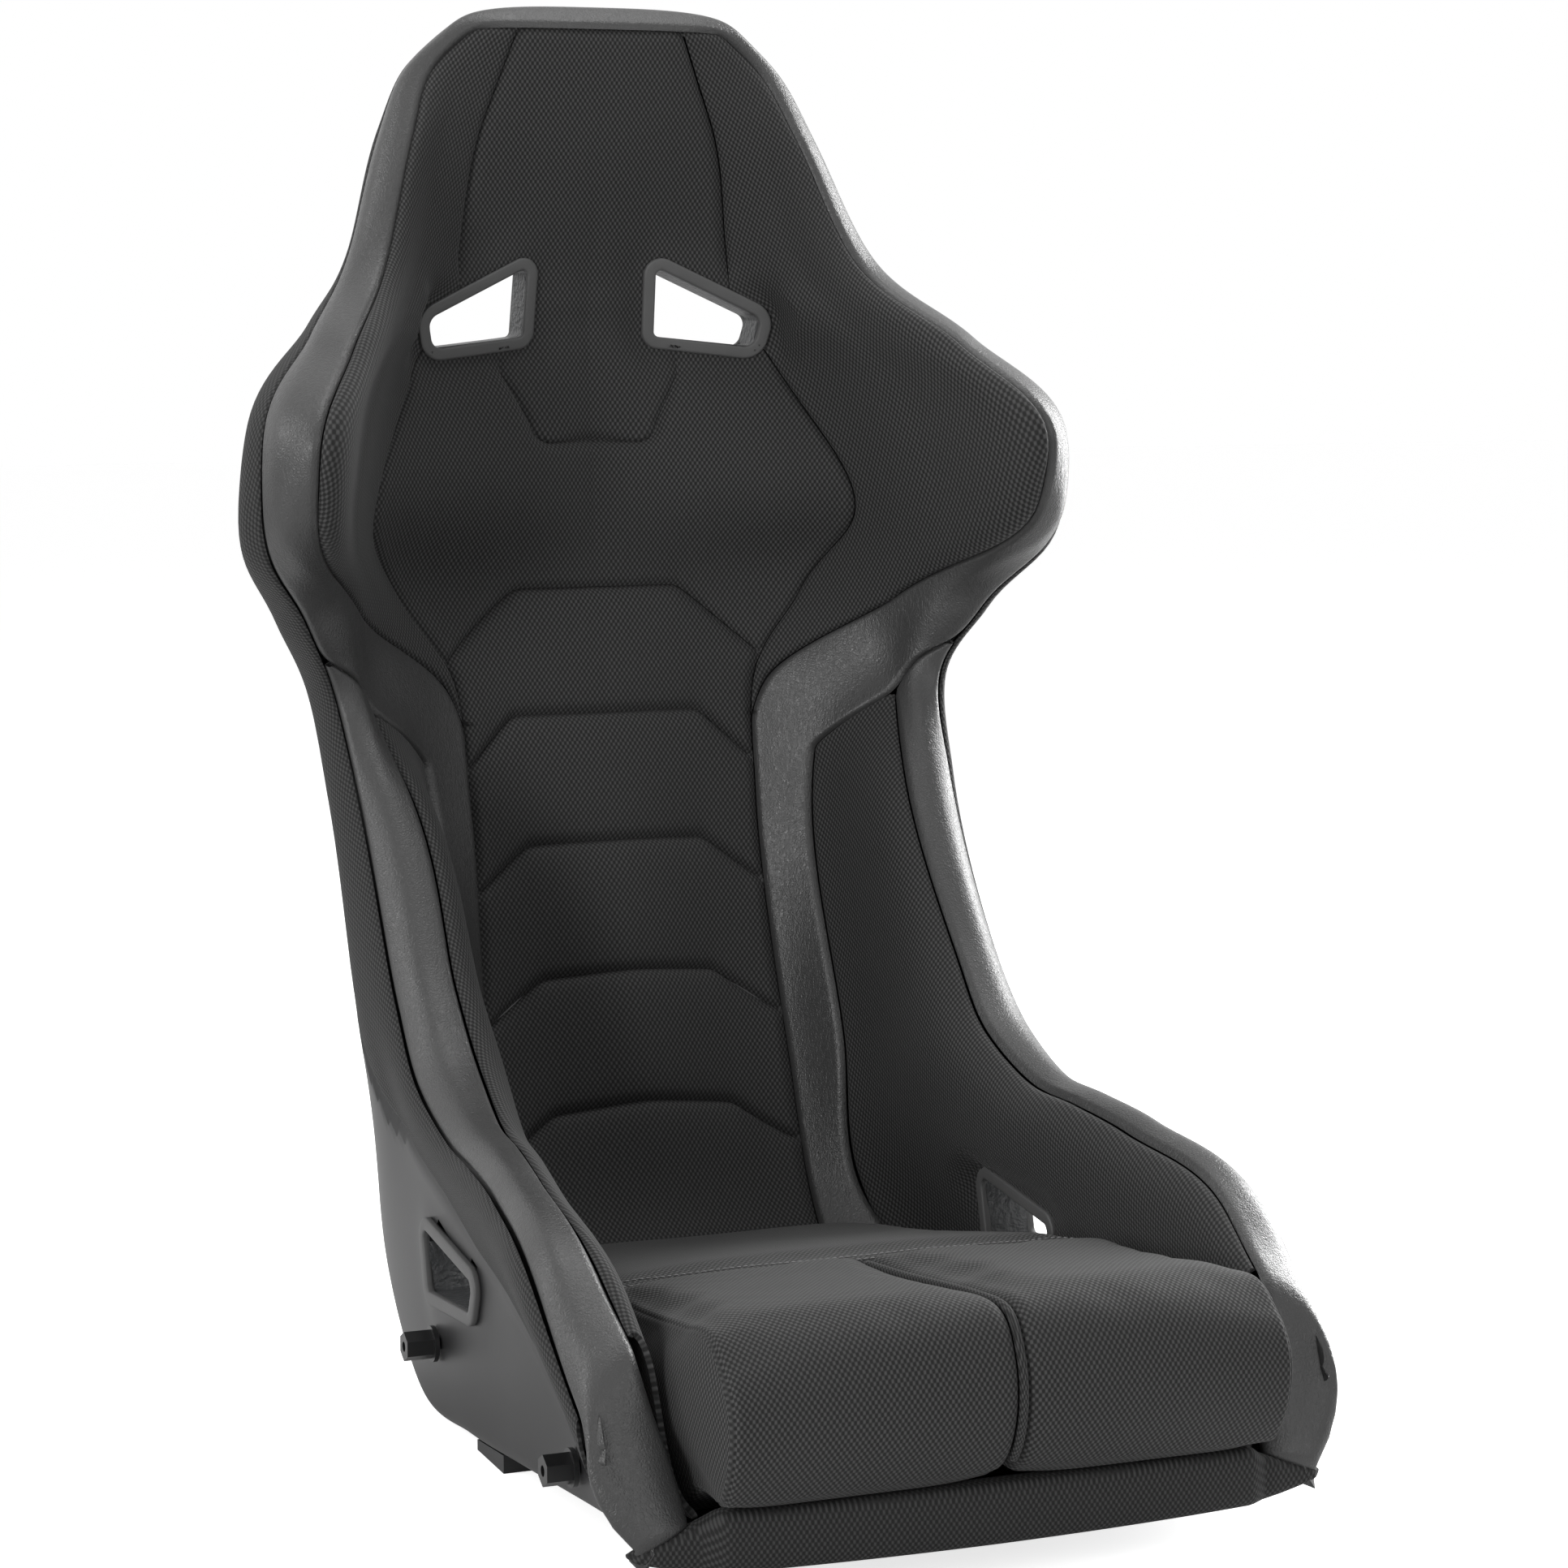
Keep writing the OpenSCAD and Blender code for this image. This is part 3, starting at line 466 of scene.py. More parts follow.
# A slow drift between the material's dark and light tone.
def addWear(tree, shader, where, scale, detail, spec):
    wear = addNode(tree, "ShaderNodeTexNoise", {"Scale": scale, "Detail": detail},
                   {"Vector": where})
    base = addNode(tree, "ShaderNodeMix", {6: srgb(spec["dark"]), 7: srgb(spec["light"])},
                   {0: wear.outputs[0]}, data_type="RGBA")
    tree.links.new(base.outputs[2], shader.inputs["Base Color"])


# Woven polyester: staggered raised cells over dark gaps, matt from the front and a little brighter
# at a grazing angle. pitch is (across, two rows up) in millimetres; the real cells are 2.7 mm
# across, and are drawn a third coarser so that they show.
def wovenCloth(name, slot, spec):
    material, tree, shader = newMaterial(name, slot, **{
        "Roughness": spec["rough"], "Specular IOR Level": spec["shine"],
        "Sheen Weight": spec["sheen"], "Sheen Roughness": 0.45, "Sheen Tint": srgb("#c8c8c8")})
    uv = addNode(tree, "ShaderNodeUVMap", uv_map="cloth").outputs[0]
    wobble = addNode(tree, "ShaderNodeTexNoise", {"Scale": 260.0, "Detail": 1.0}, {"Vector": uv})
    split = addNode(tree, "ShaderNodeSeparateXYZ", links={0: uv})
    drift = addNode(tree, "ShaderNodeMath", {1: spec["wobble"]}, {0: wobble.outputs[0]},
                    operation="MULTIPLY")
    waves = []
    for axis, pitch in enumerate(spec["pitch"]):
        turns = addNode(tree, "ShaderNodeMath", {1: 2 * math.pi * 1000 / pitch},
                        {0: split.outputs[axis]}, operation="MULTIPLY")
        drifted = addNode(tree, "ShaderNodeMath",
                          links={0: turns.outputs[0], 1: drift.outputs[0]}, operation="ADD")
        waves.append(addNode(tree, "ShaderNodeMath", links={0: drifted.outputs[0]},
                             operation="COSINE"))
    cells = addNode(tree, "ShaderNodeMath",
                    links={0: waves[0].outputs[0], 1: waves[1].outputs[0]}, operation="MULTIPLY")
    raised = addNode(tree, "ShaderNodeMapRange", {"From Min": -0.55, "From Max": 0.95},
                     {"Value": cells.outputs[0]}, interpolation_type="SMOOTHSTEP")
    thread = addNode(tree, "ShaderNodeTexNoise", {"Scale": 2600.0, "Detail": 2.0}, {"Vector": uv})
    broad = addNode(tree, "ShaderNodeTexNoise", {"Scale": 9.0, "Detail": 3.0}, {"Vector": uv})
    shade = addNode(tree, "ShaderNodeMix", {6: srgb(spec["gap"]), 7: srgb(spec["thread"])},
                    {0: raised.outputs[0]}, data_type="RGBA")
    tone = addNode(tree, "ShaderNodeMath", {1: spec["blotch"]}, {0: broad.outputs[0]},
                   operation="MULTIPLY")
    worn = addNode(tree, "ShaderNodeMix", {7: srgb(spec["worn"])},
                   {0: tone.outputs[0], 6: shade.outputs[2]}, data_type="RGBA")
    tree.links.new(worn.outputs[2], shader.inputs["Base Color"])
    fuzz = addNode(tree, "ShaderNodeMath", {1: 0.35}, {0: thread.outputs[0]}, operation="MULTIPLY")
    height = addNode(tree, "ShaderNodeMath", links={0: raised.outputs[0], 1: fuzz.outputs[0]},
                     operation="ADD")
    addBump(tree, shader, height, spec)
    return material


seatCloth = wovenCloth("dimpleWeave", "seat_fabric", {
    "pitch": (3.6, 5.1), "gap": "#171717", "thread": "#484848", "worn": "#464646", "wobble": 0.45,
    "blotch": 0.14, "rough": 0.8, "shine": 0.22, "sheen": 0.1, "bump": 0.6, "depth": 0.45})
wrapCloth = wovenCloth("ribbedWeave", "wrap_fabric", {
    "pitch": (3.6, 5.1), "gap": "#131313", "thread": "#3d3d3d", "worn": "#383838", "wobble": 0.5,
    "blotch": 0.12, "rough": 0.78, "shine": 0.25, "sheen": 0.08, "bump": 0.7, "depth": 0.5})


# Upholstery vinyl: a fine pebble with short creases, which draws the lamps out into long soft
# highlights.
def grainedVinyl(name, slot, spec):
    material, tree, shader = newMaterial(name, slot, **{
        "Roughness": spec["rough"], "Specular IOR Level": spec["shine"]})
    where = addNode(tree, "ShaderNodeTexCoord").outputs["Object"]
    stretch = addNode(tree, "ShaderNodeMapping", {"Scale": (1.0, 1.0, 0.42)}, {"Vector": where})
    pebble = addNode(tree, "ShaderNodeTexVoronoi", {"Scale": spec["grain"], "Randomness": 1.0},
                     {"Vector": where}, feature="DISTANCE_TO_EDGE")
    crease = addNode(tree, "ShaderNodeTexNoise",
                     {"Scale": spec["crease"], "Detail": 3.0, "Distortion": 1.1},
                     {"Vector": stretch.outputs[0]})
    fold = addNode(tree, "ShaderNodeMapRange", {"From Min": 0.35, "From Max": 0.62},
                   {"Value": crease.outputs[0]})
    zone = addNode(tree, "ShaderNodeTexNoise", {"Scale": 14.0, "Detail": 1.0}, {"Vector": where})
    folds = addNode(tree, "ShaderNodeMath", links={0: fold.outputs[0], 1: zone.outputs[0]},
                    operation="MULTIPLY")
    cells = addNode(tree, "ShaderNodeMath", {1: 1.1}, {0: pebble.outputs[0]}, operation="MULTIPLY")
    height = addNode(tree, "ShaderNodeMath", links={0: folds.outputs[0], 1: cells.outputs[0]},
                     operation="ADD")
    addBump(tree, shader, height, spec)
    addWear(tree, shader, where, 7.0, 4.0, spec)
    dull = addNode(tree, "ShaderNodeMath", {1: 0.1}, {0: fold.outputs[0]}, operation="MULTIPLY")
    rough = addNode(tree, "ShaderNodeMath", {1: spec["rough"] - 0.05}, {0: dull.outputs[0]},
                    operation="ADD")
    tree.links.new(rough.outputs[0], shader.inputs["Roughness"])
    return material


rollVinyl = grainedVinyl("grainedVinyl", "edge_vinyl", {
    "grain": 520.0, "crease": 420.0, "rough": 0.36, "shine": 0.36, "bump": 0.7, "depth": 0.35,
    "dark": "#373737", "light": "#424242"})


# Moulded or coated surfaces: an even grain of its own size and a faint drift of tone.
def mouldedPlastic(name, slot, spec):
    material, tree, shader = newMaterial(name, slot, **{
        "Roughness": spec["rough"], "Specular IOR Level": spec["shine"]})
    where = addNode(tree, "ShaderNodeTexCoord").outputs["Object"]
    pebble = addNode(tree, "ShaderNodeTexNoise", {"Scale": spec["grain"], "Detail": 2.0},
                     {"Vector": where})
    addBump(tree, shader, pebble, spec)
    addWear(tree, shader, where, spec["blotch"], 3.0, spec)
    return material


# Grained polypropylene trims: an even grey with dull highlights.
bezelPlastic = mouldedPlastic("bezelPlastic", "bezel_plastic", {
    "grain": 1100.0, "blotch": 30.0, "rough": 0.55, "shine": 0.4, "bump": 0.35, "depth": 0.2,
    "dark": "#484848", "light": "#555555"})
# Rough moulded sleeves: coarse pits that catch light inside the slots.
sleevePlastic = mouldedPlastic("sleevePlastic", "sleeve_plastic", {
    "grain": 240.0, "blotch": 60.0, "rough": 0.42, "shine": 0.5, "bump": 1.0, "depth": 1.6,
    "dark": "#2b2c2d", "light": "#454647"})
# Satin moulded composite: nearly black, and seen mostly by the highlights on its edges.
shellPlastic = mouldedPlastic("satinShell", "shell_black", {
    "grain": 900.0, "blotch": 5.0, "rough": 0.42, "shine": 0.4, "bump": 0.12, "depth": 0.1,
    "dark": "#101011", "light": "#161617"})
# Steel with black oxide: dark, with small sharp highlights.
blackSteel = mouldedPlastic("blackSteel", "black_steel", {
    "grain": 700.0, "blotch": 40.0, "rough": 0.35, "shine": 0.5, "bump": 0.2, "depth": 0.1,
    "dark": "#0d0d0e", "light": "#1a1a1b"})
# Bonded polyester thread, lighter than the cloth.
stitchThread = mouldedPlastic("stitchThread", "seat_fabric", {
    "grain": 2000.0, "blotch": 90.0, "rough": 0.7, "shine": 0.3, "bump": 0.4, "depth": 0.2,
    "dark": "#6c6c6c", "light": "#808080"})
print("materials made")

# Fabric panels.
panelSpec = {"dip": 3.2, "turn": 7.0, "puff": 4.0, "thick": 4.0, "ease": 24}
bandSpec = {"dip": 4.5, "turn": 9.0, "puff": 5.5, "thick": 4.0, "ease": 13, "lead": 3.0}
hipSpec = {"dip": 2.4, "turn": 6.0, "puff": 2.0, "thick": 3.5, "ease": 24}
wingSpec = {"dip": 2.8, "turn": 6.5, "puff": 4.0, "thick": 3.5, "ease": 26}
seamLevel = 0.8
panelEdge = 0.995
chevronSpec = {"top": 494, "pitch": 90, "low": 4.66, "edge": 110, "flat": [59, 70, 66, 63, 65],
               "drop": [42, 39, 35, 33, 33]}
shoulderHolds = [("shoulder", 1, 1.6, 26), ("shoulder", -1, 1.6, 26)]
lapHolds = [("lap", 1, -31, 20), ("lap", -1, -31, 20)]


def spread(a, b):
    return np.meshgrid(a, b, indexing="ij")


# A panel of the back between two lines across it, given as functions of the share across.
def panelGrid(lo, hi, near, far, rows, columns):
    a, b = spread(stations(rows), stations(columns))
    u = lo(b) + (hi(b) - lo(b)) * a
    return skin(u, near + (far - near) * b, seamLevel)


# The top line of a band: flat in the middle, then falling straight to the panel seams. The fall
# follows the true distance across, so a few passes settle it.
def chevron(k, b):
    s = chevronSpec
    z = s["top"] - k * s["pitch"] + 0 * b
    level = z
    for step in range(8):
        half = sectionAt(np.ravel(rowAt(level)))[:, 3].reshape(np.shape(level))
        x = np.abs(2 * b - 1) * half - s["flat"][k]
        soft = np.sqrt(x**2 + 3.5**2) / 2 + x / 2
        level = z - s["drop"][k] * np.clip(soft / (s["edge"] - s["flat"][k]), 0, 1.25)
    return rowAt(level)


bands = len(chevronSpec["flat"])
for k in range(bands):
    if k == bands - 1:
        under = lambda b: 0 * b + chevronSpec["low"]
    else:
        under = lambda b, k=k: chevron(k + 1, b)
    grid = panelGrid(under, lambda b, k=k: chevron(k, b), -panelEdge, panelEdge, 44, 100)
    cover("backBand%d" % (k + 1), grid, bandSpec, seatCloth, ["back_band_%d" % (k + 1)],
          seams="bcd" if k == bands - 1 else "abcd")
print("chevron bands sewn")

# The upper back panel goes round the head panel's tongue, which hides its middle.
upperSpec = dict(panelSpec, puff=4.5, top=678, tongueDip={"dip": 8.0, "turn": 12.0})
tongue = {"topHalf": 66, "lowHalf": 47, "end": 600, "round": 14, "shoulder": 650,
          "widens": (690, 704)}


# How far points lie outside the tongue, seen from the front, in millimetres.
def outsideTongue(p):
    t = tongue
    x, z = np.abs(p[..., 0]), p[..., 2]
    slope = (t["topHalf"] - t["lowHalf"]) / (t["shoulder"] - t["end"] - t["round"])
    half = np.interp(z, [t["end"] - 60, t["end"], t["end"] + t["round"], t["shoulder"], 720],
                     [t["lowHalf"], t["lowHalf"], t["lowHalf"], t["topHalf"], t["topHalf"]])
    sideways = (x - half) / math.sqrt(1 + slope**2)
    downwards = t["end"] - z
    r = t["round"]
    inX, inZ = sideways + r, downwards + r
    corner = np.hypot(np.maximum(inX, 0), np.maximum(inZ, 0))
    return corner - r + np.minimum(np.maximum(inX, inZ), 0)


def dipBy(p, distance, spec):
    share = np.clip(1 - distance / spec["turn"], 0, 1)**2.4
    return p - gridNormals(p) * (spec["dip"] * share)[..., None]


grid = panelGrid(lambda b: chevron(0, b), lambda b: 0 * b + rowAt(upperSpec["top"]),
                 -panelEdge, panelEdge, 120, 190)
upper = sewn(grid, upperSpec, "acd")
upper = dipBy(upper, np.maximum(outsideTongue(upper), 0), upperSpec["tongueDip"])
upper = holdToSlots(upper, shoulderHolds)
gone = (outsideTongue(upper) < -4) | insideSlots(upper, shoulderHolds)
upperBack = link("upperBackPanel", gridMesh(upper, gone), seatCloth)
layFlat(upperBack, (0, 0.15, 1))
addModifier(upperBack, "SOLIDIFY", thickness=upperSpec["thick"] / 1000, offset=-1)
finish(upperBack, "seat", ["upper_back_panel"])


# The head panel with its tongue: the width follows the tongue below the slots.
def headHalf(u):
    rows = sectionAt(np.ravel(u)).reshape(np.shape(u) + (16,))
    z, seam = rows[..., 1], rows[..., 3]
    t = tongue
    fromEnd = 1 - stepTo(z, t["end"], t["end"] + t["round"])
    corner = t["round"] * (1 - np.sqrt(np.clip(1 - fromEnd**2, 0, 1)))
    low = np.interp(z, [t["end"] + t["round"], t["shoulder"]], [t["lowHalf"], t["topHalf"]])
    blend = eased(stepTo(z, *t["widens"]))
    return ((low - corner) * (1 - blend) + seam * blend) / seam


headSpec = dict(panelSpec, dip=4.6, turn=10.0, puff=5.0)
a, b = spread(stations(150), stations(96))
u = rowAt(tongue["end"]) * (1 - a) + form["lastRow"] * a
headGrid = skin(u, headHalf(u) * (2 * b - 1) * panelEdge, seamLevel)
cover("headPanel", headGrid, headSpec, seatCloth, ["head_panel"], holds=shoulderHolds)

for side, label in ((1, "left"), (-1, "right")):
    a, b = spread(stations(150), stations(64))
    lo, hi = form["stripStart"] + 0.02, form["lastRow"] - 0.02
    u = lo + (hi - lo) * a
    v = 1.005 + (stripInner(u) - 0.01 - 1.005) * b
    wing = leftwards(skin(u, v * side, seamLevel), side)
    cover("wingPanel" + label.title(), wing, wingSpec, seatCloth, ["side_panel_" + label],
          holds=shoulderHolds)
    a, b = spread(stations(130), stations(56))
    u = form["stripMeetsHip"] * a
    near = np.where(u < 7.3, 1.95 + 0.05 * stepTo(u, 4, 5), stripOuter(u)) + 0.01
    v = near + (2.99 - near) * b
    hip = leftwards(skin(u, v * side, seamLevel), side)
    cover("hipPanel" + label.title(), hip, hipSpec, seatCloth, ["hip_panel_" + label],
          holds=lapHolds, seams="bcd")
print("panels sewn")

# Edge rolls.
rollSpec = {"dip": 3.4, "turn": 6.0, "puff": 0.6, "thick": 6.0, "ease": 10}
bolsterRollSpec = dict(rollSpec, thick=11.0)
headRollSpec = dict(rollSpec, thick=7.0)
footSpec = {"slant": -112, "height": 14, "round": 11, "endInner": (182, -4), "endOuter": (220, 12),
            "full": 9.0, "flat": 3.5, "hollow": 1.6, "soften": 15, "bend": 60,
            "inner": [204, 200, 195, 189, 185, 182], "outer": [240, 243, 241, 237, 230, 219]}


# A point of the plane of the foot's cut end: across, along the plane, and ahead of it.
def onFoot(x, along, ahead):
    s = math.radians(footSpec["slant"])
    return np.stack([x, along * math.cos(s) + ahead * math.sin(s),
                     footSpec["height"] + along * math.sin(s) - ahead * math.cos(s)], -1)


# The bolster's roll from the strip down to the foot, round onto the plane of the cut end, down it,
# and turned in at its lower end.
def footRoll(places):
    u = np.linspace(form["stripEnd"] - 0.12, 0.0, 120)
    uu, tt = spread(u, places)
    start = np.maximum(3, stripOuter(uu)) + 0.02
    body = skin(uu, start + (5 - start) * tt)
    s = math.radians(footSpec["slant"])
    x = body[-1, :, 0]
    along = body[-1, :, 1] * math.cos(s) + (body[-1, :, 2] - footSpec["height"]) * math.sin(s)
    r = footSpec["round"]
    x0, a0 = footSpec["endInner"]
    x1, a1 = footSpec["endOuter"]
    endX, endA = x0 + (x1 - x0) * places, a0 + (a1 - a0) * places
    extra = []
    for degrees in (12, 24, 37, 50, 63, 76, 90):
        t = math.radians(degrees)
        extra.append(onFoot(x - 0.1 * r * (1 - math.cos(t)), along + r * (1 - math.cos(t)),
                            r * math.sin(t)))
    base = (x - 0.1 * r, along + r)
    fifths = np.linspace(0, 1, 6)
    last = footSpec["flat"] + footSpec["full"] * (1 - np.abs(2 * places - 1)**2.6)
    crease = np.exp(-((places - 0.45) / 0.17)**2)
    for f in np.linspace(0, 1, 40)[1:]:
        ahead = r * (1 - eased(f)) + eased(f) * last
        ahead = ahead - footSpec["hollow"] * math.sin(math.pi * f) * crease
        near, far = (np.interp(f, fifths, footSpec[key]) for key in ("inner", "outer"))
        wide = near + (far - near) * (x - x[0]) / (x[-1] - x[0])
        early = min(f * 8, 1)
        extra.append(onFoot(base[0] + (wide - base[0]) * early,
                            base[1] + (endA - base[1]) * f, ahead))
    for degrees in (30, 60, 90):
        t = math.radians(degrees)
        extra.append(onFoot(endX, endA + 5 * math.sin(t), last * (0.35 + 0.65 * math.cos(t))))
    extra.append(onFoot(endX - 5 * places**2, endA + 10, last * 0.2))
    whole = np.concatenate([body, np.stack(extra)])
    middle = whole[:, whole.shape[1] // 2]
    s = np.concatenate([[0], np.cumsum(np.linalg.norm(np.diff(middle, axis=0), axis=1))])
    away = np.abs(s - s[len(body)])
    share = 1 - stepTo(away, footSpec["bend"] * 0.5, footSpec["bend"])
    return softened(whole, footSpec["soften"], share)[::-1]


rollPlaces = stations(30, 0.7)
for side, label in ((1, "left"), (-1, "right")):
    p = leftwards(footRoll(rollPlaces) * (side, 1, 1), side)
    cover("bolsterRoll" + label.title(), p, bolsterRollSpec, rollVinyl,
          ["hip_edging_" + label, "end_cap_" + label], seams="cd", upwards=(0, 0.6, 0.8))
    uu, tt = spread(np.linspace(form["heelRow"] - 0.4, form["neckRow"], 210), rollPlaces)
    v = stripInner(uu) + 0.004 + (stripOuter(uu) - stripInner(uu) - 0.008) * tt
    bend = stepTo(uu[:, 0], 7.2, 7.8) * (1 - stepTo(uu[:, 0], 8.8, 9.6))
    p = leftwards(softened(skin(uu, v * side), 7, bend), side)
    cover("wingRoll" + label.title(), p, rollSpec, rollVinyl, ["edging_upper_" + label], seams="cd")


# The roll over the head, up one side, round over the top and down the other.
def headRoll(places):
    v = 3 + 2 * places
    uu, vv = spread(np.linspace(form["neckRow"], form["lastRow"], 60), v)
    side = skin(uu, vv)
    edge = side[-1]
    middle = onCurve(np.broadcast_to(crown, (len(v), 3, 3)), v - 3)
    turns = []
    for f in np.linspace(0, 1, 36)[1:]:
        c, s = max(math.cos(math.pi / 2 * f), 0)**0.6, math.sin(math.pi / 2 * f)
        turns.append(np.stack([edge[:, 0] * c, edge[:, 1] + (middle[:, 1] - edge[:, 1]) * s,
                               edge[:, 2] + (middle[:, 2] - edge[:, 2]) * s], 1))
    half = np.concatenate([side, np.stack(turns)])
    whole = np.concatenate([half, (half * (-1, 1, 1))[-2::-1]])
    rows = np.arange(len(whole))
    share = stepTo(np.minimum(rows, rows[::-1]), 6, 26)
    return softened(whole, 9, share)


cover("headRoll", headRoll(rollPlaces), headRollSpec, rollVinyl, ["edging_head"], seams="cd",
      upwards=(1, 0, 0))
print("edge rolls made")

# Outer wraps and lip.
wrapSpec = {"dip": 1.4, "turn": 4.0, "puff": 0.0, "thick": 2.2, "ease": 10}
for side, label in ((1, "left"), (-1, "right")):
    uu, tt = spread(np.linspace(0, form["lastRow"] - 0.4, 190), stations(24, 0.5))
    p = leftwards(skin(uu, (5.03 + (wrapEnd(uu) - 0.05 - 5.03) * tt) * side), side)
    cover("outerWrap" + label.title(), p, wrapSpec, wrapCloth, ["outer_wrap_" + label], seams="cd",
          holds=[("lap", 1, 0.6, 16), ("lap", -1, 0.6, 16)])

lipSpec = {"half": 221, "bulge": 8, "across": [0, 168, 180, 194, 207, 216, 221],
           "top": [26, 26, 17, 12.5, 8, 5, 3], "low": [0, 0, -1, 1, 4, 5.5, 7],
           "front": [-23, -22, -13, -13, -13.5, -12, -7], "rear": [-1, -1, 6, 6, 4, 0, -3]}


# The lip's rounded section at stations across the seat.
def lipGrid():
    s = lipSpec
    right = s["half"] * stations(70, 0.4)
    x = np.concatenate([right - s["half"], right[1:]])
    angle = np.linspace(0, 2 * np.pi, 41)
    xx, aa = spread(x, angle)
    ax = np.abs(xx)
    mid = np.clip(1 - (xx / s["half"])**2, 0, 1)
    top, low, front, rear = (np.interp(ax, s["across"], s[key])
                             for key in ("top", "low", "front", "rear"))
    low = low - 6 - 6 * mid**0.4
    front, rear = front - s["bulge"] * mid, rear - s["bulge"] * mid
    c, n = np.cos(aa), np.sin(aa)
    return np.stack([xx, (front + rear) / 2 + (rear - front) / 2 * np.sign(c) * np.abs(c)**0.6,
                     low + (top - low) / 2 * (1 + np.sign(n) * np.abs(n)**0.6)], -1)


lip = lipGrid()
bm = gridMesh(lip)
bmesh.ops.remove_doubles(bm, verts=bm.verts, dist=0.0002)
bmesh.ops.holes_fill(bm, edges=[e for e in bm.edges if e.is_boundary], sides=0)
bmesh.ops.recalc_face_normals(bm, faces=bm.faces)
cloth = bm.loops.layers.uv.new("cloth")
for f in bm.faces:
    for loop in f.loops:
        co = loop.vert.co
        loop[cloth].uv = (co.x, co.z - co.y)
frontLip = link("frontLip", bm, wrapCloth)
finish(frontLip, "seat", ["front_lip"])

# Shell.
shellSpec = {"wall": 4.0, "wrap": 3.9, "roll": 9.4}


# The shell from under one outer wrap, round the back, to under the other.
def shellGrid():
    u = np.concatenate([np.linspace(0.25, 6, 70), np.linspace(6, 15.8, 120)[1:]])
    half = np.concatenate([np.linspace(4.6, 6, 12), np.linspace(6, 7.4, 22)[1:],
                           np.linspace(7.4, 10, 34)[1:]])
    around = np.concatenate([half, -half[-2::-1]])
    uu, vv = spread(u, around)
    v = np.abs(vv)
    end = wrapEnd(uu)
    behind = shellSpec["roll"] + (shellSpec["wrap"] - shellSpec["roll"]) * stepTo(v, 5, 5.3)
    depth = np.where(v < 5, shellSpec["roll"], np.where(v < end, behind, 0))
    p = skin(uu, vv, depth)
    p[..., 2] = np.maximum(p[..., 2], -form["footHeight"] + 1)
    return p


shellHolds = [("shoulder", 1, -27.5, 24), ("shoulder", -1, -27.5, 24),
              ("lap", 1, -0.6, 16), ("lap", -1, -0.6, 16)]
p = holdToSlots(shellGrid(), shellHolds)
shell = link("mouldedShell", gridMesh(p, insideSlots(p, shellHolds)), shellPlastic)
addModifier(shell, "SOLIDIFY", thickness=shellSpec["wall"] / 1000, offset=-1)
finish(shell, "seat", ["moulded_shell"])
print("shell and wraps made")

# Slots and steel.
# A bezel: the slot's outline grown through the rounded section of its ring.
bezelSection = [(0.4, -1.2), (0.0, 0.6), (0.05, 2.9), (0.35, 3.5), (1.0, 3.95), (2.0, 4.05),
                (4.5, 4.1), (7.2, 4.0), (8.1, 3.8), (8.7, 3.3), (8.95, 2.6), (9.0, 0.6),
                (8.6, -1.2)]


def addBezel(bm, kind, side, level, facing):
    at, axes = slotAxes(kind, side)
    rings = []
    for grow, height in bezelSection:
        ring, n = slotRing(kind, grow)
        z = level + facing * height
        flat = ring + slotSlide(kind) * z
        p = at + flat @ axes[:2] + z * axes[2]
        rings.append([bm.verts.new(co) for co in toModel(p)])
    edges = []
    for ring in rings:
        edges.append([bm.edges.new((a, b)) for a, b in zip(ring, ring[1:] + ring[:1])])
    for k in range(len(rings)):
        bmesh.ops.bridge_loops(bm, edges=edges[k] + edges[(k + 1) % len(rings)])


for name, node, kind, level, facing in (
        ("shoulderBezelsFront", "shoulder_bezels_front", "shoulder", 0, 1),
        ("shoulderBezelsRear", "shoulder_bezels_rear", "shoulder", -slots["shoulder"]["deep"], -1),
        ("lapBezelsInner", "lap_bezels_inner", "lap", -slots["lap"]["deep"], -1),
        ("lapBezelsOuter", "lap_bezels_outer", "lap", 0, 1)):
    bm = bmesh.new()
    for side in (1, -1):
        addBezel(bm, kind, side, level, facing)
    bmesh.ops.recalc_face_normals(bm, faces=bm.faces)
    finish(link(name, bm, bezelPlastic), "seat", [node])

for name, material in (("shoulder_sleeves", sleevePlastic), ("lap_sleeves", sleevePlastic),
                       ("side_bosses", blackSteel), ("boss_plates", blackSteel),
                       ("crossmember", blackSteel)):
    nodes[name].data.materials.clear()
    nodes[name].data.materials.append(material)
print("slots and steel dressed")

# Cushion.
cushionSpec = {"split": 185, "rear": 520, "groove": 1.6, "edgeRound": 4, "topRound": 8,
               "innerRound": 10, "swell": 4.5, "pressure": 4.0, "voxel": 6, "frames": 20,
               "crown": 6.0, "cap": 3.0, "boxing": {"dip": 2.0, "turn": 4.6}}
# The thigh pads' front, from the top over the full face to the heel below: (y, z).
thighFace = np.array([
    (-8, 134.5), (-22, 135.5), (-34, 134.5), (-43, 130.5), (-50, 123.5), (-56, 113), (-60.5, 101),
    (-62.5, 88), (-61.5, 73), (-57.5, 59), (-51, 47), (-43, 38.5), (-33, 34.5)])


def cushionTop(y):
    return np.interp(y, [-24, -8, 20, 60, 110, 185, 350, 540],
                     [136, 134.5, 131.5, 126, 119, 110.5, 76, 39])


# Height of the pan's inner face in the middle.
def panFloor(y):
    rows = sections[:6]
    s = np.radians(rows[:, 2])
    t = rows[:, 15] - 4
    return np.interp(y, rows[:, 0] + t * np.cos(s), rows[:, 1] + t * np.sin(s))


def cushionLow(y):
    inPan = 36
    front = np.interp(y, [-60, -30, 10, inPan], [38, 30, 28, panFloor(inPan)])
    return np.where(y < inPan, front, panFloor(y)) + 1.0


def cushionWide(y):
    return np.interp(y, [60, 250, 350, 450, 530], [176, 173, 167, 157, 131])


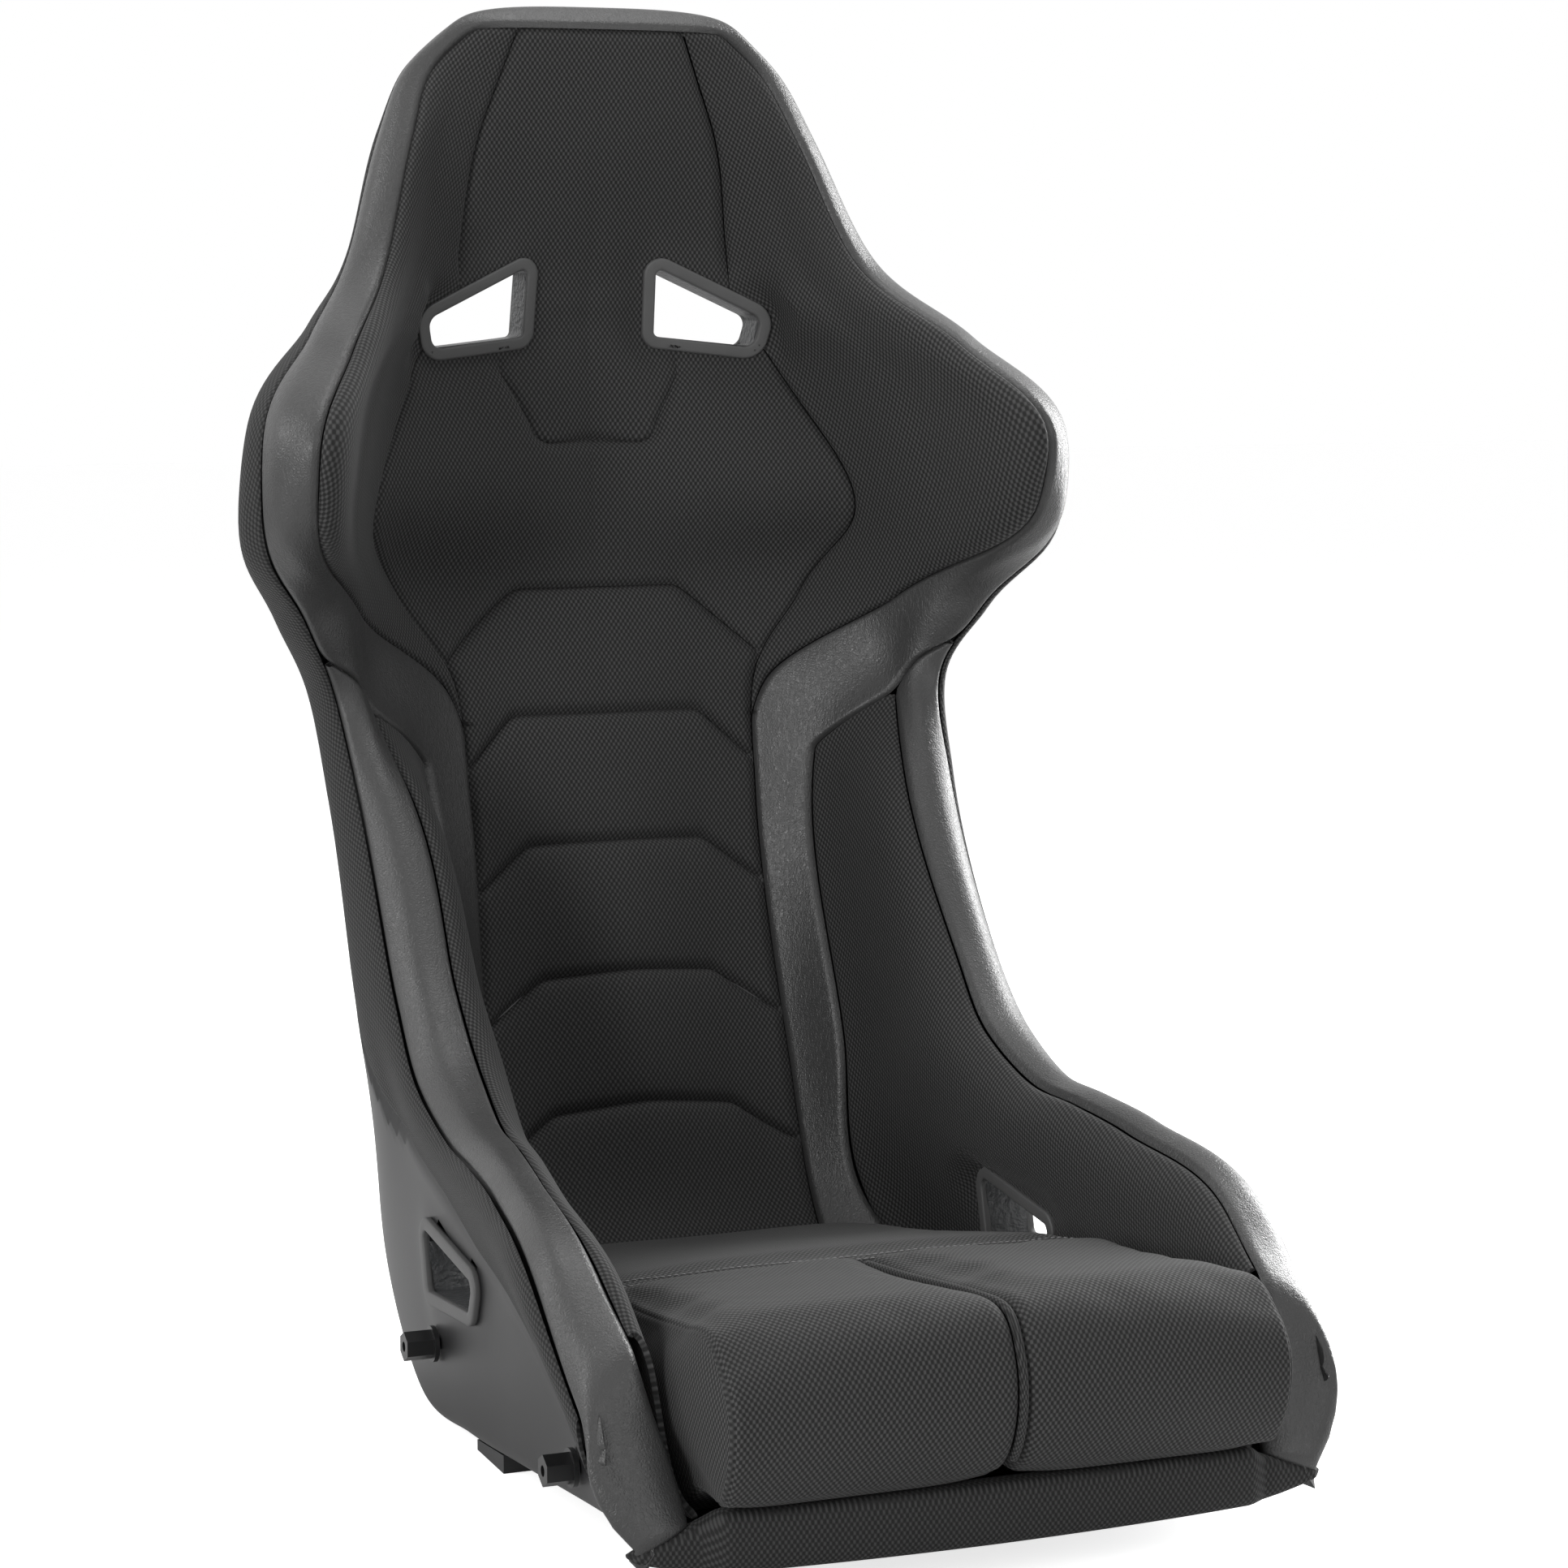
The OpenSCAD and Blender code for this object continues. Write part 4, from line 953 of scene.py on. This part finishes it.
# A closed line of points with even steps; the first point isn't repeated.
def resample(points, count):
    p = np.vstack([points, points[:1]])
    s = np.concatenate([[0], np.cumsum(np.linalg.norm(np.diff(p, axis=0), axis=1))])
    t = np.linspace(0, s[-1], count + 1)[:-1]
    return np.stack([np.interp(t, s, p[:, k]) for k in range(p.shape[1])], 1)


# Points on the pads' top or underside, in (y, z).
def sideView(height, y0, y1, count):
    y = np.linspace(y0, y1, count)
    return np.stack([y, height(y)], 1)


# The pad's side view from the points of its top and front, over the underside from start, to a
# square back at y1 with a rounded top edge.
def padProfile(front, start, y1):
    r = cushionSpec["topRound"]
    low, high = cushionLow(y1), cushionTop(y1)
    back = [(y1, z) for z in np.linspace(low + 3, high - r, 5)]
    back += [(y1 - r * (1 - math.cos(t)), high - r * (1 - math.sin(t)))
             for t in np.linspace(0.2, 1.4, 5)]
    return np.concatenate([front, sideView(cushionLow, start, y1 - 4, 40), back])


def thighSide(y1):
    top = sideView(cushionTop, y1 - cushionSpec["topRound"], thighFace[0, 0] + 6, 50)
    places = np.linspace(0, len(thighFace) - 1, 60)
    face = onCurve(np.broadcast_to(thighFace, (60,) + thighFace.shape), places)
    return padProfile(np.concatenate([top, face]), thighFace[-1, 0] + 4, y1)


def rearSide(y0, y1):
    r = cushionSpec["topRound"]
    low, high = cushionLow(y0), cushionTop(y0)
    top = sideView(cushionTop, y1 - r, y0 + r + 1, 60)
    edge = [(y0 + r * (1 - math.sin(t)), high - r * (1 - math.cos(t)))
            for t in np.linspace(0.2, 1.57, 6)]
    face = [(y0, z) for z in np.linspace(high - r - 2, low + 4, 5)]
    return padProfile(np.concatenate([top, edge, face]), y0 + 3, y1)


# Pads are lower towards the sides of the seat than in the middle.
def crowned(p):
    w = np.clip((np.abs(p[..., 0]) - 40) / 137, 0, 1)**2
    upper = np.maximum(stepTo(p[..., 2], 45, 80), stepTo(-p[..., 1], 25, 45))
    out = p.copy()
    nose = np.exp(-((p[..., 1] + 44) / 22)**2) * stepTo(p[..., 2], 88, 128)
    out[..., 2] -= cushionSpec["crown"] * w * upper + 9 * w * nose
    out[..., 1] += w * (4 * stepTo(-p[..., 1], 15, 45) + 4 * nose)
    return out


# A pad as stations across the seat. The side view shrinks at each end into a rounded edge, and
# closes in rings to its middle. Seams run where the rounding begins.
capRings = (0.0, 0.25, 0.5, 0.75, 0.92)
roundAngles = np.radians([0, 15, 30, 45, 60, 75, 90])


def padGrid(profile, count, left, right, roundLeft, roundRight):
    ring = resample(profile, count)
    centre = ring.mean(axis=0)
    t = unit(np.roll(ring, -1, 0) - np.roll(ring, 1, 0))
    normal = np.stack([t[:, 1], -t[:, 0]], 1)
    if np.sum(normal * (ring - centre)) < 0:
        normal = -normal

    def padEnd(r):
        domed = cushionSpec["cap"] if r < cushionSpec["innerRound"] else 0.0
        out = [(-domed * (1 - k**2), centre + (ring - normal * r - centre) * k) for k in capRings]
        return out + [(r * (1 - math.cos(a)), ring - normal * r * (1 - math.sin(a)))
                      for a in roundAngles]

    points = []
    kinds = []
    for dx, at in padEnd(roundLeft):
        points.append(np.stack([left(at[:, 0]) + dx, at[:, 0], at[:, 1]], 1))
        kinds.append("side" if dx > 0.01 else "end")
    x0, x1 = left(ring[:, 0]) + roundLeft, right(ring[:, 0]) - roundRight
    for f in stations(46, 0.55)[1:-1]:
        points.append(np.stack([x0 + (x1 - x0) * f, ring[:, 0], ring[:, 1]], 1))
        kinds.append("mid")
    for dx, at in padEnd(roundRight)[::-1]:
        points.append(np.stack([right(at[:, 0]) - dx, at[:, 0], at[:, 1]], 1))
        kinds.append("side" if dx > 0.01 else "end")
    return crowned(np.array(points)), kinds


def padMesh(name, profile, count, left, right, roundLeft, roundRight):
    p, kinds = padGrid(profile, count, left, right, roundLeft, roundRight)
    closed = np.concatenate([p, p[:, :1]], axis=1)
    bm = gridMesh(closed)
    layer = bm.verts.layers.int["place"]
    cloth = bm.loops.layers.uv.new("cloth")
    columns = closed.shape[1]
    arc = arcs(closed, 1) / 1000
    seat = toModel(closed)
    for f in bm.faces:
        cap = all(kinds[v[layer] // columns] == "end" for v in f.verts)
        for loop in f.loops:
            i, j = divmod(loop.vert[layer], columns)
            if cap:
                loop[cloth].uv = (seat[i, j, 1], seat[i, j, 2])
            else:
                loop[cloth].uv = (seat[i, j, 0], -arc[len(kinds) // 2, j])
    # Marks the line of the boxing seam on an outer end, three rings into its rounding.
    line = bm.verts.layers.float.new("seamLine")
    seam = len(capRings) + 3
    marked = []
    if left(0) < -100:
        marked.append(seam)
    if right(0) > 100:
        marked.append(len(kinds) - 1 - seam)
    for v in bm.verts:
        v[line] = 1.0 if v[layer] // columns in marked else 0.0
    bmesh.ops.remove_doubles(bm, verts=bm.verts, dist=0.00005)
    bmesh.ops.recalc_face_normals(bm, faces=bm.faces)
    return link(name, bm, seatCloth)


# Fills a pad with air: a remeshed copy is blown up as cloth, and the pad follows its surface, but
# for its underside and the thigh pads' faces in the groove.
inflateSpec = {"quality": 4, "mass": 0.2, "stiffness": 30, "bending": 1.0, "near": 26,
               "bell": 0.009, "under": (0.02, 0.03), "groove": (0.004, 0.02)}


def inflate(obj, spec):
    copy = bpy.data.objects.new("blown", obj.data.copy())
    scene.collection.objects.link(copy)
    addModifier(copy, "REMESH", mode="VOXEL", voxel_size=spec["voxel"] / 1000)
    applyModifiers(copy)
    rest = np.array([v.co for v in copy.data.vertices])
    clothModifier = copy.modifiers.new("Cloth", "CLOTH")
    settings = clothModifier.settings
    settings.quality = inflateSpec["quality"]
    settings.mass = inflateSpec["mass"]
    settings.tension_stiffness = inflateSpec["stiffness"]
    settings.compression_stiffness = inflateSpec["stiffness"]
    settings.bending_stiffness = inflateSpec["bending"]
    settings.use_pressure = True
    settings.uniform_pressure_force = spec["pressure"]
    settings.effector_weights.gravity = 0
    clothModifier.point_cache.frame_start = 1
    clothModifier.point_cache.frame_end = spec["frames"]
    for number in range(1, spec["frames"] + 1):
        scene.frame_set(number)
    blown = copy.evaluated_get(bpy.context.evaluated_depsgraph_get()).to_mesh()
    moved = np.array([v.co for v in blown.vertices])
    shift = moved - rest - (moved - rest).mean(axis=0)
    size = np.linalg.norm(shift, axis=1, keepdims=True)
    shift = shift * np.minimum(1, spec["swell"] / 1000 / np.maximum(size, 1e-9))
    tree = KDTree(len(rest))
    for i, co in enumerate(rest):
        tree.insert(co, i)
    tree.balance()
    low = min(v.co.z for v in obj.data.vertices)
    start, rise = inflateSpec["under"]
    inset, turn = inflateSpec["groove"]
    for v in obj.data.vertices:
        found = tree.find_n(v.co, inflateSpec["near"])
        weights = np.array([math.exp(-(d / inflateSpec["bell"])**2) for co, i, d in found])
        move = (shift[[i for co, i, d in found]] * weights[:, None]).sum(axis=0) / weights.sum()
        share = min(max((v.co.z - low - start) / rise, 0), 1)
        if "thigh" in obj.name:
            move[0] *= min(max((abs(v.co.x) - spec["groove"] / 1000 - inset) / turn, 0), 1)
        v.co += Vector(move * share)
    scene.frame_set(1)
    bpy.data.objects.remove(copy)
    print("  inflated", obj.name, "by up to %.1f mm" % (np.linalg.norm(shift, axis=1).max() * 1000))


# Draws a pad in along a seam given as points.
def drawSeam(obj, seam, dip, turn):
    tree = KDTree(len(seam))
    for k, co in enumerate(seam):
        tree.insert(co, k)
    tree.balance()
    normals = [v.normal.copy() for v in obj.data.vertices]
    for v, n in zip(obj.data.vertices, normals):
        d = tree.find(v.co)[2] * 1000
        if d < turn:
            v.co -= n * (dip * (1 - d / turn)**1.8) / 1000


def finishPad(obj, replaced):
    addModifier(obj, "SUBSURF", levels=1, render_levels=1)
    finish(obj, "cushion", replaced)


thighProfile = thighSide(cushionSpec["split"] - 0.5)
for side, label in ((1, "left"), (-1, "right")):
    inner = lambda y, side=side: side * (0 * y + cushionSpec["groove"])
    outer = lambda y, side=side: side * cushionWide(y)
    ends = (inner, outer) if side > 0 else (outer, inner)
    rounds = (cushionSpec["innerRound"], cushionSpec["edgeRound"])[::side]
    pad = padMesh("thighPad" + label.title(), thighProfile, 170, *ends, *rounds)
    inflate(pad, cushionSpec)
    # The boxing seam follows the pad's outer edge after the filling.
    layer = [d for d in pad.data.attributes if d.name == "seamLine"][0]
    seam = [pad.data.vertices[k].co.copy() for k, mark in enumerate(layer.data) if mark.value > 0.5]
    drawSeam(pad, seam, **cushionSpec["boxing"])
    finishPad(pad, ["cushion_thigh_" + label])

rearProfile = rearSide(cushionSpec["split"] + 0.5, cushionSpec["rear"])
rearPad = padMesh("rearPad", rearProfile, 120, lambda y: -cushionWide(y), cushionWide,
                  cushionSpec["innerRound"], cushionSpec["innerRound"])
inflate(rearPad, cushionSpec)
finishPad(rearPad, ["cushion_rear_pad"])

# Piping in the groove between the thigh pads.
pipingSpec = {"round": 2.7, "sunk": 4.2, "low": 44}


# A round tube along a line of points, closed at both ends.
def tubeAlong(path, r, sides):
    along = unit(np.gradient(path, axis=0))
    across = unit(np.cross(along, np.broadcast_to(np.array([1.0, 0.02, 0.03]), along.shape)))
    other = np.cross(along, across)
    bm = bmesh.new()
    rings = []
    for c, a, b in zip(path, across, other):
        rings.append([bm.verts.new(toModel(c + r * (a * math.cos(t) + b * math.sin(t))))
                      for t in np.linspace(0, 2 * np.pi, sides, endpoint=False)])
    loops = [[bm.edges.new((a, b)) for a, b in zip(ring, ring[1:] + ring[:1])] for ring in rings]
    for k in range(len(rings) - 1):
        bmesh.ops.bridge_loops(bm, edges=loops[k] + loops[k + 1])
    bmesh.ops.holes_fill(bm, edges=loops[0] + loops[-1], sides=0)
    bmesh.ops.recalc_face_normals(bm, faces=bm.faces)
    return bm


ring = resample(thighProfile, 220)
step = unit(np.gradient(ring, axis=0))
ring = ring + pipingSpec["sunk"] * np.stack([-step[:, 1], step[:, 0]], 1)
last = next(k for k in range(60, len(ring)) if ring[k, 1] < pipingSpec["low"])
path = np.array([(0, y, z) for y, z in ring[2:last]])
piping = link("cushionPiping", tubeAlong(path, pipingSpec["round"], 12), seatCloth)
layer = piping.data.uv_layers.new(name="cloth")
for loop in piping.data.loops:
    co = piping.data.vertices[loop.vertex_index].co
    layer.data[loop.index].uv = (co.x * 2, co.y - co.z)
finish(piping, "cushion", ["cushion_piping"])

# Two rows of stitches across the rear pad, behind the thigh pads.
stitchSpec = {"rows": (193.5, 200.5), "reach": 168, "long": 3.4, "gap": 1.2, "round": 0.6,
              "proud": 0.45}


def topStitches(spec):
    evaluated = rearPad.evaluated_get(bpy.context.evaluated_depsgraph_get())
    bm = bmesh.new()
    pitch = spec["long"] + spec["gap"]
    for y in spec["rows"]:
        for k in range(int(2 * spec["reach"] / pitch)):
            ends = []
            for x in (k * pitch - spec["reach"], k * pitch - spec["reach"] + spec["long"]):
                top = Vector(toModel((x, y, 200)))
                hit, at, normal, face = evaluated.ray_cast(top, Vector((0, 0, -1)))
                ends.append(at + normal * spec["proud"] / 1000)
            a, b = ends
            made = bmesh.ops.create_uvsphere(bm, u_segments=6, v_segments=4,
                                             radius=spec["round"] / 1000)
            turn = (b - a).to_track_quat("Z", "Y").to_matrix().to_4x4()
            grow = (b - a).length / (2 * spec["round"] / 1000)
            bmesh.ops.scale(bm, vec=(1, 1, grow), verts=made["verts"])
            bmesh.ops.transform(bm, matrix=turn, verts=made["verts"])
            bmesh.ops.translate(bm, vec=(a + b) / 2, verts=made["verts"])
    return bm


stitches = link("topStitches", topStitches(stitchSpec), stitchThread)
finish(stitches, "cushion", [])
print("cushion made")

# Camera, light.
lens = {"focal": 89.44, "sensor": 36, "at": (-0.9227, -2.342, 0.7493),
        "turn": (82.708, 0, -21.717)}
cameraData = bpy.data.cameras.new("camera")
cameraData.lens = lens["focal"]
cameraData.sensor_width = lens["sensor"]
cameraData.clip_end = 60
camera = bpy.data.objects.new("camera", cameraData)
camera.location = lens["at"]
camera.rotation_euler = [math.radians(a) for a in lens["turn"]]
scene.collection.objects.link(camera)
scene.camera = camera

lamps = {
    "key": {"at": (-3.0, -2.1, 1.25), "size": (0.8, 1.5), "power": 64},
    "front": {"at": (1.1, -3.2, 1.9), "size": (2.0, 1.4), "power": 20},
    "rimRight": {"at": (2.2, 0.9, 1.1), "size": (0.6, 2.4), "power": 95},
    "rimLeft": {"at": (-2.3, 0.6, 1.9), "size": (0.5, 1.6), "power": 26},
    "top": {"at": (0.3, 0.1, 3.0), "size": (1.6, 1.6), "power": 30}}
aim = Vector((0, 0, 0.45))
for name, s in lamps.items():
    data = bpy.data.lights.new(name, "AREA")
    data.shape = "RECTANGLE"
    data.size, data.size_y = s["size"]
    data.energy = s["power"]
    lamp = bpy.data.objects.new(name, data)
    lamp.location = s["at"]
    lamp.rotation_euler = (aim - Vector(s["at"])).to_track_quat("-Z", "Y").to_euler()
    scene.collection.objects.link(lamp)

world = bpy.data.worlds.new("studio")
scene.world = world
world.use_nodes = True
tree = world.node_tree
tree.nodes.clear()
path = addNode(tree, "ShaderNodeLightPath")
seen = addNode(tree, "ShaderNodeMath", operation="MAXIMUM",
               links={0: path.outputs["Is Camera Ray"], 1: path.outputs["Is Transmission Ray"]})
around = addNode(tree, "ShaderNodeBackground", {"Color": srgb("#e8e8e8"), "Strength": 0.26})
white = addNode(tree, "ShaderNodeBackground", {"Color": (1, 1, 1, 1), "Strength": 1.0})
gloss = addNode(tree, "ShaderNodeMixShader", links={
    0: path.outputs["Is Glossy Ray"], 1: around.outputs[0], 2: white.outputs[0]})
mixed = addNode(tree, "ShaderNodeMixShader", links={
    0: seen.outputs[0], 1: gloss.outputs[0], 2: white.outputs[0]})
addNode(tree, "ShaderNodeOutputWorld", links={0: mixed.outputs[0]})

# A pale floor that holds the shadow; its own light hides where it ends.
bm = bmesh.new()
bmesh.ops.create_grid(bm, x_segments=1, y_segments=1, size=14)
floorMaterial, tree, shader = newMaterial("paleFloor", "", Roughness=0.9)
shader.inputs["Base Color"].default_value = srgb("#f2f2f2")
path = addNode(tree, "ShaderNodeLightPath")
shader.inputs["Emission Color"].default_value = (1, 1, 1, 1)
lit = addNode(tree, "ShaderNodeMath", {1: 0.74}, {0: path.outputs["Is Camera Ray"]},
              operation="MULTIPLY")
tree.links.new(lit.outputs[0], shader.inputs["Emission Strength"])
floor = link("floor", bm, floorMaterial)

scene.view_settings.view_transform = "Standard"
print("light and camera set")
